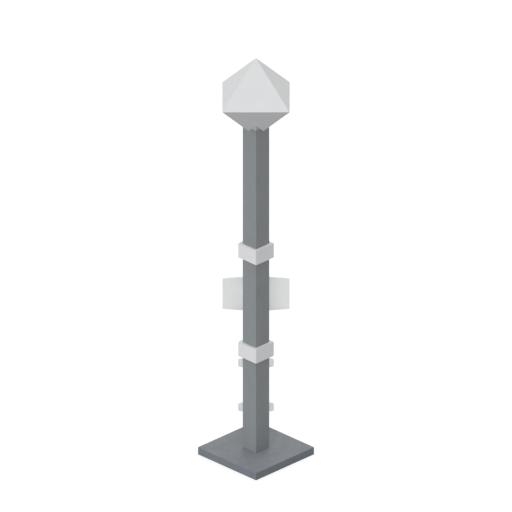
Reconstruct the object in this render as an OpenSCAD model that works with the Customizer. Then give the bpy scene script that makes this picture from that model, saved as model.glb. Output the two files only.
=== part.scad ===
// Two-position semaphore signal for a garden railway, in millimetres.
// Origin: centre of the base plate's underside, +Z up. The driver stands on the
// +Y side. The square post is turned so that one of its corners points along +Y,
// and everything that works the signal is carried on that far corner.

/* [Base] */
// Side of the square base plate
base_side = 87; // [86:0.5:120]
// Thickness of the base plate
base_t = 8.5; // [8:0.1:14]
// Height of the boss that fills the foot of the post
foot_h = 12; // [6:0.5:20]
// Circle through the four tapped holes in the underside
fix_pcd = 62; // [54:0.5:80]
// Bore of each tapped hole in the underside
fix_d = 3.3; // [2.5:0.1:5]
// Depth of each tapped hole in the underside
fix_depth = 6; // [4:0.5:7.5]

/* [Post] */
// Side of the square post tube
post_side = 20; // [18:0.5:24]
// Wall of the post tube
post_wall = 1.5; // [1:0.1:2.5]
// Length of the post tube
post_len = 388.9; // [320:0.1:480]
// Diameter of the tie rod inside the post
tie_d = 4; // [3:0.5:5]

/* [Finial] */
// Half of the side of the finial's square equator
finial_half_w = 35.8; // [32:0.1:44]
// Half of the finial's height
finial_half_h = 46.8; // [42:0.1:55]
// Height of the equator above the top of the post tube
finial_rise = 26.3; // [22:0.1:30]
// Wall of the finial's shells
finial_wall = 2; // [1.2:0.1:3]
// Floor of the lower shell, which the tie rod clamps to the post
finial_floor = 2.5; // [1.5:0.1:4]
// Height of the neck band under the finial
neck_h = 6; // [5:0.5:12]
// Thickness of the neck band
neck_t = 0.8; // [0.5:0.1:1.5]

/* [Collars] */
// Wall of the square collars
collar_wall = 3.4; // [2.5:0.1:5]
// Height of each collar
collar_h = 16.8; // [12:0.1:24]
// Underside of the lower collar above the ground
collar_low = 116.8; // [112:0.1:130]
// Underside of the upper collar above the ground
collar_high = 233.7; // [215:0.1:240]
// Diameter of the collars' grub screws
grub_d = 3; // [2:0.5:4]

/* [Board] */
// Width of the blank number board
board_w = 71.2; // [50:0.1:90]
// Height of the board at its ends
board_end_h = 35.9; // [30:0.1:44]
// Height of the board at its middle
board_mid_h = 41.4; // [36:0.1:50]
// Thickness of the board
board_t = 2; // [1.5:0.1:3]
// Height of the board's centre above the ground
board_z = 182.6; // [170:0.1:195]

/* [Saddles] */
// Thickness of the wings that lie against the post
wing_t = 2.4; // [2:0.1:3.5]
// Reach of each wing along the post's face
wing_len = 14; // [13:0.1:16]
// Thickness of a saddle over the post's corner
saddle_t = 1.1; // [0.8:0.1:2]
// Half of the width of a saddle's flat pad
pad_half = 6; // [5:0.1:8]
// Diameter of the small screws
screw_d = 2; // [1.6:0.1:2.5]

/* [Rod guides] */
// Width of each guide bar
guide_w = 38; // [30:0.1:50]
// Height of each guide bar
guide_h = 9.8; // [8:0.1:14]
// Thickness of each guide bar
guide_t = 2.4; // [1.8:0.1:4]
// Height of the lower guide's centre above the ground
guide_low = 48.1; // [47:0.1:60]
// Height of the upper guide's centre above the ground
guide_high = 100.6; // [92:0.1:108]
// Outer radius of each guide's eye
eye_r = 3.3; // [3:0.1:4.5]

/* [Down rod] */
// Diameter of the down rod
rod_d = 2.5; // [2:0.1:3]
// Distance of the rod's axis from the post's far corner
rod_stand = 13.9; // [13:0.1:18]
// Thickness of the yoke at the top of the rod
yoke_t = 2.8; // [2:0.1:3.2]
// Height of each stop collar on the rod
stop_h = 5; // [3:0.5:7]

/* [Arm] */
// Distance from the top of the post tube down to the arm's pivot
pivot_drop = 43; // [38:0.5:60]
// Swing of the arm from hanging to level, in degrees
arm_swing = 90; // [80:1:90]
// Radius of the crank pin about the pivot
crank_r = 10; // [8:0.5:11]
// Diameter of the crank pin
crank_d = 2.5; // [2:0.1:3]
// Radius of the spectacle glasses about the pivot
spec_r = 9.2; // [9:0.1:10]
// Radius of each spectacle glass
glass_r = 3.35; // [2.5:0.05:3.6]
// Thickness of the spectacle casting
casting_t = 2.2; // [1.8:0.1:3]
// Distance from the pivot to the tip of the blade
blade_len = 115; // [90:1:135]
// Width of the blade at its tip
blade_tip_w = 24; // [18:0.5:26]
// Width of the blade at its root
blade_root_w = 18; // [14:0.5:22]
// Thickness of the blade
blade_t = 1.2; // [0.8:0.1:2]
// Diameter of the arm's pivot screw
pivot_d = 3.5; // [3:0.1:4]

/* [Lamp] */
// Radius of the lamp's case
lamp_r = 4.6; // [4:0.1:5.2]
// Height of the lamp's case
lamp_h = 10.5; // [9.5:0.1:14]
// Diameter of the peg that the lamp stands on
peg_d = 3; // [2:0.1:4]

/* [Balance lever] */
// Height of the lever's pivot above the top of the base plate
lever_rise = 21.9; // [18:0.1:24]
// Distance from the lever's pivot to the rod's axis
lever_in = 16; // [14:0.5:20]
// Distance from the lever's pivot to its tip
lever_out = 38; // [34:0.5:46]
// Thickness of the lever
lever_t = 2; // [1.5:0.1:2.5]
// Radius of the balance weight
weight_r = 7; // [5:0.5:9]
// Width of the balance weight
weight_w = 9; // [6:0.5:12]
// Distance from the lever's pivot to the middle of the weight
weight_out = 22; // [18:0.5:24]
// Diameter of the lever's pivot pin
lever_pin_d = 3.2; // [2.5:0.1:4]

/* [Fits] */
// Radial gap of a turning or sliding fit
run_gap = 0.08; // [0.04:0.01:0.1]
// Gap around a piece that is fixed in its seat
seat_gap = 0.05; // [0.02:0.01:0.1]
// Gap between faces that pass each other
pass_gap = 0.4; // [0.3:0.05:0.6]
// Gap at the two ends of the arm's pivot
face_gap = 0.3; // [0.2:0.05:0.5]
// Gap between the yoke and the spectacle casting
yoke_gap = 0.9; // [0.6:0.1:1.4]
// Gap between the lamp's lens ring and the spectacle casting
lens_gap = 1.7; // [1.2:0.1:2.5]
// Play of the rod end's pin across its slot in the lever
slot_gap = 0.28; // [0.2:0.02:0.4]

/* [Hidden] */
$fn = 64;
root2 = sqrt(2);

// How far the shapes that make one piece reach into each other
bond = 0.5;

// Post and what surrounds it
post_r = post_side / root2;
post_bore = post_side - 2 * post_wall;
post_top = base_t + post_len;
collar_side = post_side + 2 * collar_wall;
neck_side = post_side + 2 * (seat_gap + neck_t);

// Finial
finial_z = post_top + finial_rise;
face_run = finial_wall * norm([1 / finial_half_w, 1 / finial_half_h]);
inner_half_w = finial_half_w * (1 - face_run);
inner_half_h = finial_half_h * (1 - face_run);
floor_top = post_top + finial_floor;
lip_h = 3;
lip_t = 1.5;
lip_half = inner_half_w * (1 - lip_h / inner_half_h) - 2 * seat_gap;

// Tie rod, its nuts and washers
nut_h = 0.8 * tie_d;
nut_r = 1.01 * tie_d;
washer_r = 1.12 * tie_d;
washer_t = 0.8;
tie_tail = 1;
pocket_r = 1.5 * tie_d;
pocket_h = washer_t + nut_h + 0.6;
tie_bottom = pocket_h - washer_t - nut_h - 0.3;
tie_top = floor_top + washer_t + nut_h + tie_tail;

// Saddles
pad_y = post_r + saddle_t;
wing_along = 10.5;
head_d = 1.8 * screw_d;
head_h = 0.6 * screw_d;
wing_screw_len = wing_t + post_wall + 1;
board_saddle_h = 24;
board_wing_dz = 7;
board_screw_dz = 9;
board_screw_x = 4;
board_screw_depth = 3.6;

// Arm, in the plane beyond the down rod
pivot_z = post_top - pivot_drop;
half_swing = arm_swing / 2;
crank_x = crank_r * cos(half_swing);
crank_z = crank_r * sin(half_swing);
travel = 2 * crank_z;
rod_x = (crank_r + crank_x) / 2;
rod_y = post_r + rod_stand;
casting_y = rod_y + yoke_t / 2 + yoke_gap;
casting_front = casting_y + casting_t;
hub_r = pivot_d / 2 + 2.6;
hub_front = casting_front + 1.8;
bush_wall = 0.8;
rim_r = glass_r + 0.95;
rim_lip = 0.55;
glass_t = 1;
lug_len = 24;
lug_w = 12;
blade_start = 9.5;
rivet_d = 1.8;
rivet_head_h = 0.7;
rivet_rows = [-13, -20.5];
rivet_x = 3;
boss_r = 2.8;
boss_end = casting_y - face_gap;
pivot_thread = 2.5;
pivot_saddle_low = 13;

// Yoke: the slot lets the crank pin drift a little, as the fold is a straight ratio
slot_drift = 0.04 * crank_r;
slot_r = crank_d / 2 + slot_drift;
yoke_wall = 1.3;
yoke_half_h = slot_r + yoke_wall;
yoke_boss_r = rod_d / 2 + 0.65;
yoke_boss_h = 6;
clip_t = 0.5;
clip_gap = 0.2;

// Lamp, standing on a peg just above the pivot
shelf_t = 1.2;
shelf_low = pivot_z + boss_r + face_gap;
shelf_top = shelf_low + shelf_t;
lamp_y = pad_y + pass_gap + lamp_r;
lamp_axis_z = pivot_z + spec_r;
lamp_wall = 0.8;
lamp_floor = 3;
peg_h = 2.5;
tube_r = 3.1;
tube_wall = 0.55;
tube_front = casting_y - lens_gap;
ring_t = 0.6;
roof_r = lamp_r + 0.4;
roof_t = 0.8;
chimney_r = 1.9;
lamp_saddle_h = 10;
lamp_saddle_mid = shelf_low + 6;

// Balance lever
end_half_w = 2.1;
end_half_l = 2.4;
end_above = 4;
end_below = 2.6;
rod_socket = 2.4;
end_pin_d = 2.2;
end_head_t = 0.7;
lever_a = atan(travel / 2 / lever_in);
lever_reach = lever_in / cos(lever_a);
lever_x = rod_x - end_half_w - pass_gap - lever_t / 2;
lever_y = rod_y + lever_in;
lever_z = base_t + lever_rise;
end_z = lever_z - travel / 2;
lever_slot_r = end_pin_d / 2 + slot_gap;
lever_h = 4.4;
lever_hub_r = lever_pin_d / 2 + 2.6;
cheek_gap = 0.3;
cheek_t = 2;
cheek_r = 3.8;
cheek_out = lever_t / 2 + cheek_gap + cheek_t;
bracket_t = 2.2;
bracket_half_w = 7.6;
bracket_back = 7.5;
bracket_screw_x = 5.6;
bracket_screw_y = [-5, 1.3];
bracket_screw_len = bracket_t + 3.8;
lever_head_t = 1;
grip_r = 3;
grip_len = 11;

// Stop collars on the rod: one sits on the lower guide, one meets the upper guide
stop_gap = 0.15;
stop_r = rod_d / 2 + 1.95;
stop_low_z = guide_low + guide_h / 2 + stop_gap;
stop_high_z = guide_high - guide_h / 2 - stop_gap - travel - stop_h;
stop_screw_d = 1.6;

// Heights of the screws that hold the saddles to the post's two far faces
pivot_wing_zs = [pivot_z - 9.5, pivot_z - 2];
board_wing_zs = [board_z - board_wing_dz, board_z + board_wing_dz];
wing_zs = concat([guide_low, guide_high, lamp_saddle_mid], board_wing_zs, pivot_wing_zs);

module turned_square(side, z, h) {
    translate([0, 0, z + h / 2]) rotate([0, 0, 45]) cube([side, side, h], center = true);
}

// Plate in the XZ plane, from y0 outwards
module plate_xz(y0, t) {
    translate([0, y0 + t, 0]) rotate([90, 0, 0]) linear_extrude(t) children();
}

// Plate in the YZ plane, from x0 outwards
module plate_yz(x0, t) {
    translate([x0, 0, 0]) rotate([90, 0, 90]) linear_extrude(t) children();
}

// Cylinder along +Y
module bar_y(r, y0, y1) {
    translate([0, y0, 0]) rotate([-90, 0, 0]) cylinder(r = r, h = y1 - y0);
}

// Cylinder along +X
module bar_x(r, x0, x1) {
    translate([x0, 0, 0]) rotate([0, 90, 0]) cylinder(r = r, h = x1 - x0);
}

// Solid with eight flat faces about a level square equator
module octahedron(half_w, half_h) {
    outline = [[half_w, 0], [0, half_h], [-half_w, 0], [0, -half_h]];
    intersection() {
        rotate([90, 0, 0]) linear_extrude(3 * half_w, center = true) polygon(outline);
        rotate([90, 0, 90]) linear_extrude(3 * half_w, center = true) polygon(outline);
    }
}

// Frame on one of the post's two far faces, with +Z pointing away from the post
module on_face(side, along, z) {
    translate([side * along / root2, post_r - along / root2, z])
        rotate([0, 90, side > 0 ? 45 : 135]) children();
}

module slotted_screw(d, len, head, head_height) {
    translate([0, 0, -len]) cylinder(d = d, h = len + head_height / 2);
    difference() {
        cylinder(d = head, h = head_height);
        translate([-head, -head / 12, head_height / 2]) cube([2 * head, head / 6, head_height]);
    }
}

module screw_hole(d, depth) {
    translate([0, 0, -depth]) cylinder(d = d + 2 * seat_gap, h = 2 * depth);
}

module wing_holes(zs) {
    for (z = zs) {
        for (side = [-1, 1]) {
            on_face(side, wing_along, z) screw_hole(screw_d, wing_screw_len + 1);
        }
    }
}

module grub_holes(z) {
    for (side = [-1, 1]) {
        on_face(side, post_side / 2, z) screw_hole(grub_d, 2 * collar_wall);
    }
}

// V saddle that lies on the post's far corner, with a flat pad in front
module saddle(z0, h) {
    translate([0, 0, z0]) linear_extrude(h) difference() {
        intersection() {
            union() {
                rotate(45) square(post_side + 2 * wing_t, center = true);
                translate([-pad_half, 0]) square([2 * pad_half, pad_y]);
            }
            translate([-post_side, post_r - wing_len / root2]) {
                square([2 * post_side, wing_len / root2 + saddle_t]);
            }
        }
        rotate(45) square(post_side, center = true);
    }
}

// Places its children at each tapped hole of the underside
module at_fixings() {
    for (i = [0:3]) {
        rotate([0, 0, 45 + 90 * i]) translate([fix_pcd / 2, 0, 0]) children();
    }
}

// Places its children at the four screws of the lever's bracket
module at_bracket_screws() {
    for (sx = [-1, 1]) {
        for (dy = bracket_screw_y) {
            translate([lever_x + sx * bracket_screw_x, lever_y + dy, base_t + bracket_t]) children();
        }
    }
}

// Places its children at the four screws of the board, pointing to the driver
module at_board_screws() {
    for (sx = [-1, 1]) {
        for (sz = [-1, 1]) {
            translate([sx * board_screw_x, pad_y + board_t, board_z + sz * board_screw_dz])
                rotate([-90, 0, 0]) children();
        }
    }
}

module lever_frame() {
    translate([lever_x, lever_y, lever_z]) rotate([lever_a, 0, 0]) children();
}

module base_plate() {
    color("#83878a") difference() {
        union() {
            turned_square(base_side, 0, base_t);
            turned_square(post_bore - 2 * seat_gap, base_t / 2, base_t / 2 + foot_h);
        }
        translate([0, 0, -1]) cylinder(d = tie_d + 2 * run_gap, h = base_t + foot_h + 2);
        translate([0, 0, -1]) cylinder(r = pocket_r, h = 1 + pocket_h);
        at_fixings() translate([0, 0, -1]) cylinder(d = fix_d, h = 1 + fix_depth);
        at_bracket_screws() screw_hole(screw_d, bracket_screw_len + 0.5);
    }
}

module post_tube() {
    color("#7b7e81") difference() {
        turned_square(post_side, base_t, post_len);
        turned_square(post_bore, base_t - 1, post_len + 2);
        wing_holes(wing_zs);
    }
}

module post_top_plug() {
    color("#7b7e81") difference() {
        turned_square(post_bore - 2 * seat_gap, post_top - foot_h, foot_h);
        translate([0, 0, post_top - foot_h - 1]) cylinder(d = tie_d + 2 * run_gap, h = foot_h + 2);
    }
}

module tie_rod() {
    color("silver") translate([0, 0, tie_bottom]) cylinder(d = tie_d, h = tie_top - tie_bottom);
}

module tie_nut(z) {
    translate([0, 0, z]) difference() {
        cylinder(r = nut_r, h = nut_h, $fn = 6);
        translate([0, 0, -1]) cylinder(d = tie_d + 2 * seat_gap, h = nut_h + 2);
    }
}

module tie_nuts() {
    color("silver") {
        tie_nut(pocket_h - washer_t - nut_h);
        tie_nut(floor_top + washer_t);
    }
}

module tie_washer(z) {
    translate([0, 0, z]) difference() {
        cylinder(r = washer_r, h = washer_t);
        translate([0, 0, -1]) cylinder(d = tie_d + 2 * run_gap, h = washer_t + 2);
    }
}

module tie_washers() {
    color("silver") {
        tie_washer(pocket_h - washer_t);
        tie_washer(floor_top);
    }
}

module neck_band() {
    color("#e6e7e7") difference() {
        turned_square(neck_side, post_top - neck_h, neck_h);
        turned_square(post_side + 2 * seat_gap, post_top - neck_h - 1, neck_h + 2);
    }
}

module finial_lower_shell() {
    socket_side = neck_side + 2 * seat_gap;
    color("#e6e7e7") difference() {
        union() {
            difference() {
                intersection() {
                    translate([0, 0, finial_z]) octahedron(finial_half_w, finial_half_h);
                    translate([0, 0, finial_z - finial_half_h]) {
                        cube([3 * finial_half_w, 3 * finial_half_w, 2 * finial_half_h], center = true);
                    }
                }
                intersection() {
                    translate([0, 0, finial_z]) octahedron(inner_half_w, inner_half_h);
                    translate([0, 0, floor_top + finial_half_h]) {
                        cube([3 * finial_half_w, 3 * finial_half_w, 2 * finial_half_h], center = true);
                    }
                }
            }
            translate([0, 0, finial_z - 4]) linear_extrude(4 + lip_h) difference() {
                square(2 * lip_half, center = true);
                square(2 * (lip_half - lip_t), center = true);
            }
        }
        turned_square(socket_side, finial_z - finial_half_h - 1, post_top - finial_z + finial_half_h + 1);
        translate([0, 0, post_top - 1]) cylinder(d = tie_d + 2 * run_gap, h = finial_floor + 2);
    }
}

module finial_upper_shell() {
    color("#eef0f0") translate([0, 0, finial_z]) difference() {
        intersection() {
            octahedron(finial_half_w, finial_half_h);
            translate([0, 0, finial_half_h]) {
                cube([3 * finial_half_w, 3 * finial_half_w, 2 * finial_half_h], center = true);
            }
        }
        octahedron(inner_half_w, inner_half_h);
    }
}

module collar(z0) {
    color("#e6e7e7") difference() {
        turned_square(collar_side, z0, collar_h);
        turned_square(post_side + 2 * seat_gap, z0 - 1, collar_h + 2);
        grub_holes(z0 + collar_h / 2);
    }
}

module collar_lower() {
    collar(collar_low);
}

module collar_upper() {
    collar(collar_high);
}

module collar_grub_screws() {
    color("silver") for (z0 = [collar_low, collar_high]) {
        for (side = [-1, 1]) {
            on_face(side, post_side / 2, z0 + collar_h / 2) difference() {
                cylinder(d = grub_d, h = collar_wall - 0.3);
                translate([0, 0, collar_wall - 1.6]) cylinder(d = grub_d / 2, h = 2, $fn = 6);
            }
        }
    }
}

module board_outline() {
    polygon([
        [-board_w / 2, -board_end_h / 2], [0, -board_mid_h / 2], [board_w / 2, -board_end_h / 2],
        [board_w / 2, board_end_h / 2], [0, board_mid_h / 2], [-board_w / 2, board_end_h / 2]
    ]);
}

module number_board() {
    color("#e6e7e7") difference() {
        plate_xz(pad_y, board_t) translate([0, board_z]) board_outline();
        at_board_screws() screw_hole(screw_d, board_t + 1);
    }
}

module board_saddle() {
    color("#e6e7e7") difference() {
        saddle(board_z - board_saddle_h / 2, board_saddle_h);
        wing_holes(board_wing_zs);
        at_board_screws() screw_hole(screw_d, board_t + board_screw_depth + 0.2);
    }
}

module board_screws() {
    color("silver") at_board_screws() {
        slotted_screw(screw_d, board_t + board_screw_depth, head_d, head_h);
    }
}

module saddle_screws() {
    color("silver") for (z = wing_zs) {
        for (side = [-1, 1]) {
            on_face(side, wing_along, z) translate([0, 0, wing_t]) {
                slotted_screw(screw_d, wing_screw_len, head_d, head_h);
            }
        }
    }
}

module guide_outline() {
    end_cut = 3.2;
    end_drop = 1.15;
    x = guide_w / 2;
    y = guide_h / 2;
    polygon([
        [-x, -y + end_drop], [-x + end_cut, -y], [x - end_cut, -y], [x, -y + end_drop],
        [x, y - end_drop], [x - end_cut, y], [-x + end_cut, y], [-x, y - end_drop]
    ]);
}

module rod_guide(z) {
    color("#e6e7e7") difference() {
        union() {
            saddle(z - guide_h / 2, guide_h);
            plate_xz(pad_y, guide_t) translate([0, z]) guide_outline();
            translate([-pad_half, pad_y - bond, z - guide_h / 2]) cube([2 * pad_half, 2 * bond, guide_h]);
            translate([rod_x - 2, pad_y, z - guide_h / 4]) cube([4, rod_stand - saddle_t, guide_h / 2]);
            translate([rod_x, rod_y, z - guide_h / 2]) cylinder(r = eye_r, h = guide_h);
        }
        translate([rod_x, rod_y, z - guide_h]) cylinder(r = rod_d / 2 + bush_wall + seat_gap, h = 2 * guide_h);
        wing_holes([z]);
    }
}

module rod_guide_lower() {
    rod_guide(guide_low);
}

module rod_guide_upper() {
    rod_guide(guide_high);
}

module guide_bushes() {
    color("goldenrod") for (z = [guide_low, guide_high]) {
        translate([rod_x, rod_y, z - guide_h / 2]) difference() {
            cylinder(r = rod_d / 2 + bush_wall, h = guide_h);
            translate([0, 0, -1]) cylinder(r = rod_d / 2 + run_gap, h = guide_h + 2);
        }
    }
}

module pivot_bracket() {
    color("#3a3d40") difference() {
        union() {
            saddle(pivot_z - pivot_saddle_low, pivot_saddle_low + boss_r);
            translate([0, 0, pivot_z]) bar_y(boss_r, pad_y - 0.5, boss_end);
            translate([-1.2, pad_y - 0.2, pivot_z - pivot_saddle_low]) cube([2.4, 4, pivot_saddle_low]);
        }
        translate([0, 0, pivot_z]) bar_y(pivot_thread / 2 + seat_gap, boss_end - 7.5, boss_end + 1);
        wing_holes(pivot_wing_zs);
    }
}

module pivot_screw() {
    head_y = hub_front + face_gap;
    color("silver") translate([0, 0, pivot_z]) {
        bar_y(pivot_thread / 2, boss_end - 7, boss_end + bond);
        bar_y(pivot_d / 2, boss_end, head_y + bond);
        difference() {
            bar_y(pivot_d / 2 + 1.6, head_y, head_y + 1.6);
            translate([-5, head_y + 0.8, -0.4]) cube([10, 2, 0.8]);
        }
    }
}

module lamp_bracket() {
    color("#3a3d40") difference() {
        union() {
            saddle(shelf_low, lamp_saddle_h);
            translate([-3.2, pad_y - 0.5, shelf_low]) cube([6.4, lamp_y - pad_y + 3.7, shelf_t]);
            translate([0, lamp_y, shelf_low]) cylinder(d = peg_d, h = shelf_t + peg_h);
        }
        wing_holes([lamp_saddle_mid]);
    }
}

module glass_places() {
    translate([0, spec_r]) children();
    translate([spec_r, 0]) children();
}

module casting_outline() {
    web_w = 3;
    circle(r = hub_r);
    glass_places() circle(r = rim_r);
    translate([-web_w / 2, 0]) square([web_w, spec_r]);
    translate([0, -web_w / 2]) square([spec_r, web_w]);
    rotate(-half_swing) translate([0, -2]) square([crank_r, 4]);
    translate([crank_x, -crank_z]) circle(r = crank_d / 2 + 1.4);
    polygon([[-hub_r + 0.4, 0], [hub_r - 0.4, 0], [lug_w / 2, -lug_len], [-lug_w / 2, -lug_len]]);
}

module at_rivets() {
    for (sx = [-1, 1]) {
        for (dz = rivet_rows) {
            translate([sx * rivet_x, 0, dz]) children();
        }
    }
}

module spectacle_casting() {
    color("#2f3234") translate([0, 0, pivot_z]) difference() {
        union() {
            plate_xz(casting_y, casting_t) casting_outline();
            bar_y(hub_r, casting_y, hub_front);
        }
        bar_y(pivot_d / 2 + bush_wall + seat_gap, casting_y - 1, hub_front + 1);
        plate_xz(casting_y - 1, casting_t + 2) glass_places() circle(r = glass_r - rim_lip);
        plate_xz(casting_y + rim_lip, casting_t) glass_places() circle(r = glass_r + seat_gap);
        translate([crank_x, 0, -crank_z]) bar_y(crank_d / 2 + seat_gap, casting_y - 1, casting_front + 1);
        at_rivets() bar_y(rivet_d / 2 + seat_gap, casting_y - 1, casting_front + 1);
    }
}

module pivot_bush() {
    color("goldenrod") translate([0, 0, pivot_z]) difference() {
        bar_y(pivot_d / 2 + bush_wall, casting_y, hub_front);
        bar_y(pivot_d / 2 + run_gap, casting_y - 1, hub_front + 1);
    }
}

module arm_blade() {
    color("#b3231f") translate([0, 0, pivot_z]) difference() {
        plate_xz(casting_front, blade_t) polygon([
            [-blade_root_w / 2, -blade_start], [blade_root_w / 2, -blade_start],
            [blade_tip_w / 2, -blade_len], [-blade_tip_w / 2, -blade_len]
        ]);
        at_rivets() bar_y(rivet_d / 2 + seat_gap, casting_front - 1, casting_front + blade_t + 1);
    }
}

module blade_rivets() {
    color("silver") translate([0, 0, pivot_z]) at_rivets() {
        bar_y(rivet_d / 2, casting_y, casting_front + blade_t + rivet_head_h / 2);
        bar_y(rivet_d * 0.9, casting_front + blade_t, casting_front + blade_t + rivet_head_h);
    }
}

module spectacle_glass() {
    translate([0, 0, pivot_z]) plate_xz(casting_y + rim_lip, glass_t) children();
}

module glass_red() {
    color("#d01818", 0.6) spectacle_glass() translate([spec_r, 0]) circle(r = glass_r);
}

module glass_green() {
    color("#15a050", 0.6) spectacle_glass() translate([0, spec_r]) circle(r = glass_r);
}

module glass_rings() {
    ring_y = casting_y + rim_lip + glass_t;
    color("goldenrod") translate([0, 0, pivot_z]) {
        plate_xz(ring_y, casting_front - ring_y) glass_places() difference() {
            circle(r = glass_r);
            circle(r = glass_r - rim_lip);
        }
    }
}

module crank_pin() {
    color("silver") translate([crank_x, 0, pivot_z - crank_z]) {
        bar_y(crank_d / 2, rod_y - yoke_t / 2 - clip_gap - 2 * clip_t, casting_front);
    }
}

module crank_pin_clip() {
    clip_y = rod_y - yoke_t / 2 - clip_gap - clip_t;
    color("goldenrod") translate([crank_x, 0, pivot_z - crank_z]) difference() {
        bar_y(crank_d / 2 + 0.8, clip_y, clip_y + clip_t);
        bar_y(crank_d / 2 + seat_gap / 2, clip_y - 1, clip_y + clip_t + 1);
    }
}

module rod_yoke() {
    yoke_z = pivot_z - crank_z;
    slot_half = (crank_r - crank_x) / 2;
    block_half = slot_half + slot_r + yoke_wall;
    color("#9a9c9e") translate([rod_x, rod_y, yoke_z]) difference() {
        union() {
            cube([2 * block_half, yoke_t, 2 * yoke_half_h], center = true);
            translate([0, 0, -yoke_half_h - yoke_boss_h]) cylinder(r = yoke_boss_r, h = yoke_boss_h);
            intersection() {
                translate([0, 0, -yoke_half_h - bond]) cylinder(r = yoke_boss_r - seat_gap, h = 2 * bond);
                cube([2 * block_half, yoke_t, 2 * yoke_half_h + 2 * bond], center = true);
            }
        }
        cube([2 * slot_half, 2 * yoke_t, 2 * slot_r], center = true);
        for (sx = [-1, 1]) {
            translate([sx * slot_half, 0, 0]) bar_y(slot_r, -yoke_t, yoke_t);
        }
        translate([0, 0, -yoke_half_h - yoke_boss_h - 1]) {
            cylinder(d = rod_d + 2 * seat_gap, h = yoke_boss_h + 1);
        }
    }
}

module down_rod() {
    rod_bottom = end_z + end_above - rod_socket;
    rod_top = pivot_z - crank_z - yoke_half_h;
    color("silver") translate([rod_x, rod_y, rod_bottom]) cylinder(d = rod_d, h = rod_top - rod_bottom);
}

module rod_end() {
    color("#9a9c9e") translate([rod_x, rod_y, end_z]) difference() {
        translate([-end_half_w, -end_half_l, -end_below]) {
            cube([2 * end_half_w, 2 * end_half_l, end_below + end_above]);
        }
        translate([0, 0, end_above - rod_socket]) cylinder(d = rod_d + 2 * seat_gap, h = 3);
        bar_x(end_pin_d / 2 + seat_gap, -end_half_w - 1, end_half_w + 1);
    }
}

module rod_end_pin() {
    pin_tail = end_half_w + pass_gap + lever_t + clip_gap + 2 * clip_t;
    color("silver") translate([rod_x, rod_y, end_z]) {
        bar_x(end_pin_d / 2, -pin_tail, end_half_w + end_head_t / 2);
        bar_x(end_pin_d / 2 + 0.7, end_half_w, end_half_w + end_head_t);
    }
}

module rod_end_clip() {
    clip_x = -end_half_w - pass_gap - lever_t - clip_gap - clip_t;
    color("goldenrod") translate([rod_x, rod_y, end_z]) difference() {
        bar_x(end_pin_d / 2 + 1, clip_x, clip_x + clip_t);
        bar_x(end_pin_d / 2 + seat_gap / 2, clip_x - 1, clip_x + clip_t + 1);
    }
}

module stop_collars() {
    color("#9a9c9e") for (z0 = [stop_low_z, stop_high_z]) {
        translate([rod_x, rod_y, z0]) difference() {
            cylinder(r = stop_r, h = stop_h);
            translate([0, 0, -1]) cylinder(d = rod_d + 2 * seat_gap, h = stop_h + 2);
            translate([0, 0, stop_h / 2]) bar_y(stop_screw_d / 2 + seat_gap, 0, 2 * stop_r);
        }
    }
}

module stop_screws() {
    color("silver") for (z0 = [stop_low_z, stop_high_z]) {
        translate([rod_x, rod_y, z0 + stop_h / 2]) bar_y(stop_screw_d / 2, rod_d / 2, stop_r - 0.1);
    }
}

module lamp_case() {
    axis_h = lamp_axis_z - shelf_top;
    color("#26282a") translate([0, lamp_y, shelf_top]) difference() {
        union() {
            cylinder(r = lamp_r, h = lamp_h);
            translate([0, 0, axis_h]) bar_y(tube_r, 0, tube_front - lamp_y - ring_t);
        }
        translate([0, 0, lamp_floor]) cylinder(r = lamp_r - lamp_wall, h = lamp_h);
        translate([0, 0, axis_h]) bar_y(tube_r - tube_wall, 2, tube_front);
        translate([0, 0, -1]) cylinder(d = peg_d + 2 * run_gap, h = 1 + peg_h + 0.2);
    }
}

module lamp_bullseye() {
    glass = tube_r - tube_wall - seat_gap;
    depth = 1.6;
    color("#f5efd0", 0.6) translate([0, tube_front - ring_t - depth, lamp_axis_z]) intersection() {
        bar_y(glass, 0, depth + 1);
        translate([0, depth - 3.45, 0]) sphere(r = 4);
    }
}

module lamp_lens_ring() {
    color("goldenrod") translate([0, 0, lamp_axis_z]) difference() {
        bar_y(tube_r, tube_front - ring_t, tube_front);
        bar_y(tube_r - 1, tube_front - ring_t - 1, tube_front + 1);
    }
}

module lamp_burner() {
    color("goldenrod") translate([0, lamp_y, shelf_top + lamp_floor]) {
        cylinder(r = 2, h = 0.9);
        cylinder(r = 0.9, h = 2);
    }
}

module lamp_roof() {
    plug_r = lamp_r - lamp_wall - seat_gap;
    cone_top = roof_t + 1.8;
    chimney_top = cone_top + 1.2;
    color("#26282a") translate([0, lamp_y, shelf_top + lamp_h]) rotate_extrude() polygon([
        [0, -1], [plug_r, -1], [plug_r, 0], [roof_r, 0], [roof_r, roof_t], [roof_r - 0.6, roof_t],
        [chimney_r, cone_top], [chimney_r, chimney_top], [chimney_r + 0.5, chimney_top],
        [chimney_r + 0.5, chimney_top + 0.5], [0, chimney_top + 0.5]
    ]);
}

module lever_bracket() {
    color("#3a3d40") difference() {
        union() {
            translate([lever_x - bracket_half_w, lever_y - bracket_back, base_t]) {
                cube([2 * bracket_half_w, bracket_back + cheek_r, bracket_t]);
            }
            for (x0 = [lever_x - cheek_out, lever_x + cheek_out - cheek_t]) {
                translate([0, lever_y, 0]) plate_yz(x0, cheek_t) {
                    translate([-cheek_r, base_t]) square([2 * cheek_r, lever_z - base_t]);
                    translate([0, lever_z]) circle(r = cheek_r);
                }
            }
        }
        translate([0, lever_y, lever_z]) {
            bar_x(lever_pin_d / 2 + seat_gap, lever_x - 2 * cheek_out, lever_x + 2 * cheek_out);
        }
        at_bracket_screws() screw_hole(screw_d, bracket_screw_len);
    }
}

module bracket_screws() {
    color("silver") at_bracket_screws() slotted_screw(screw_d, bracket_screw_len, 1.7 * screw_d, head_h);
}

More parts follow.
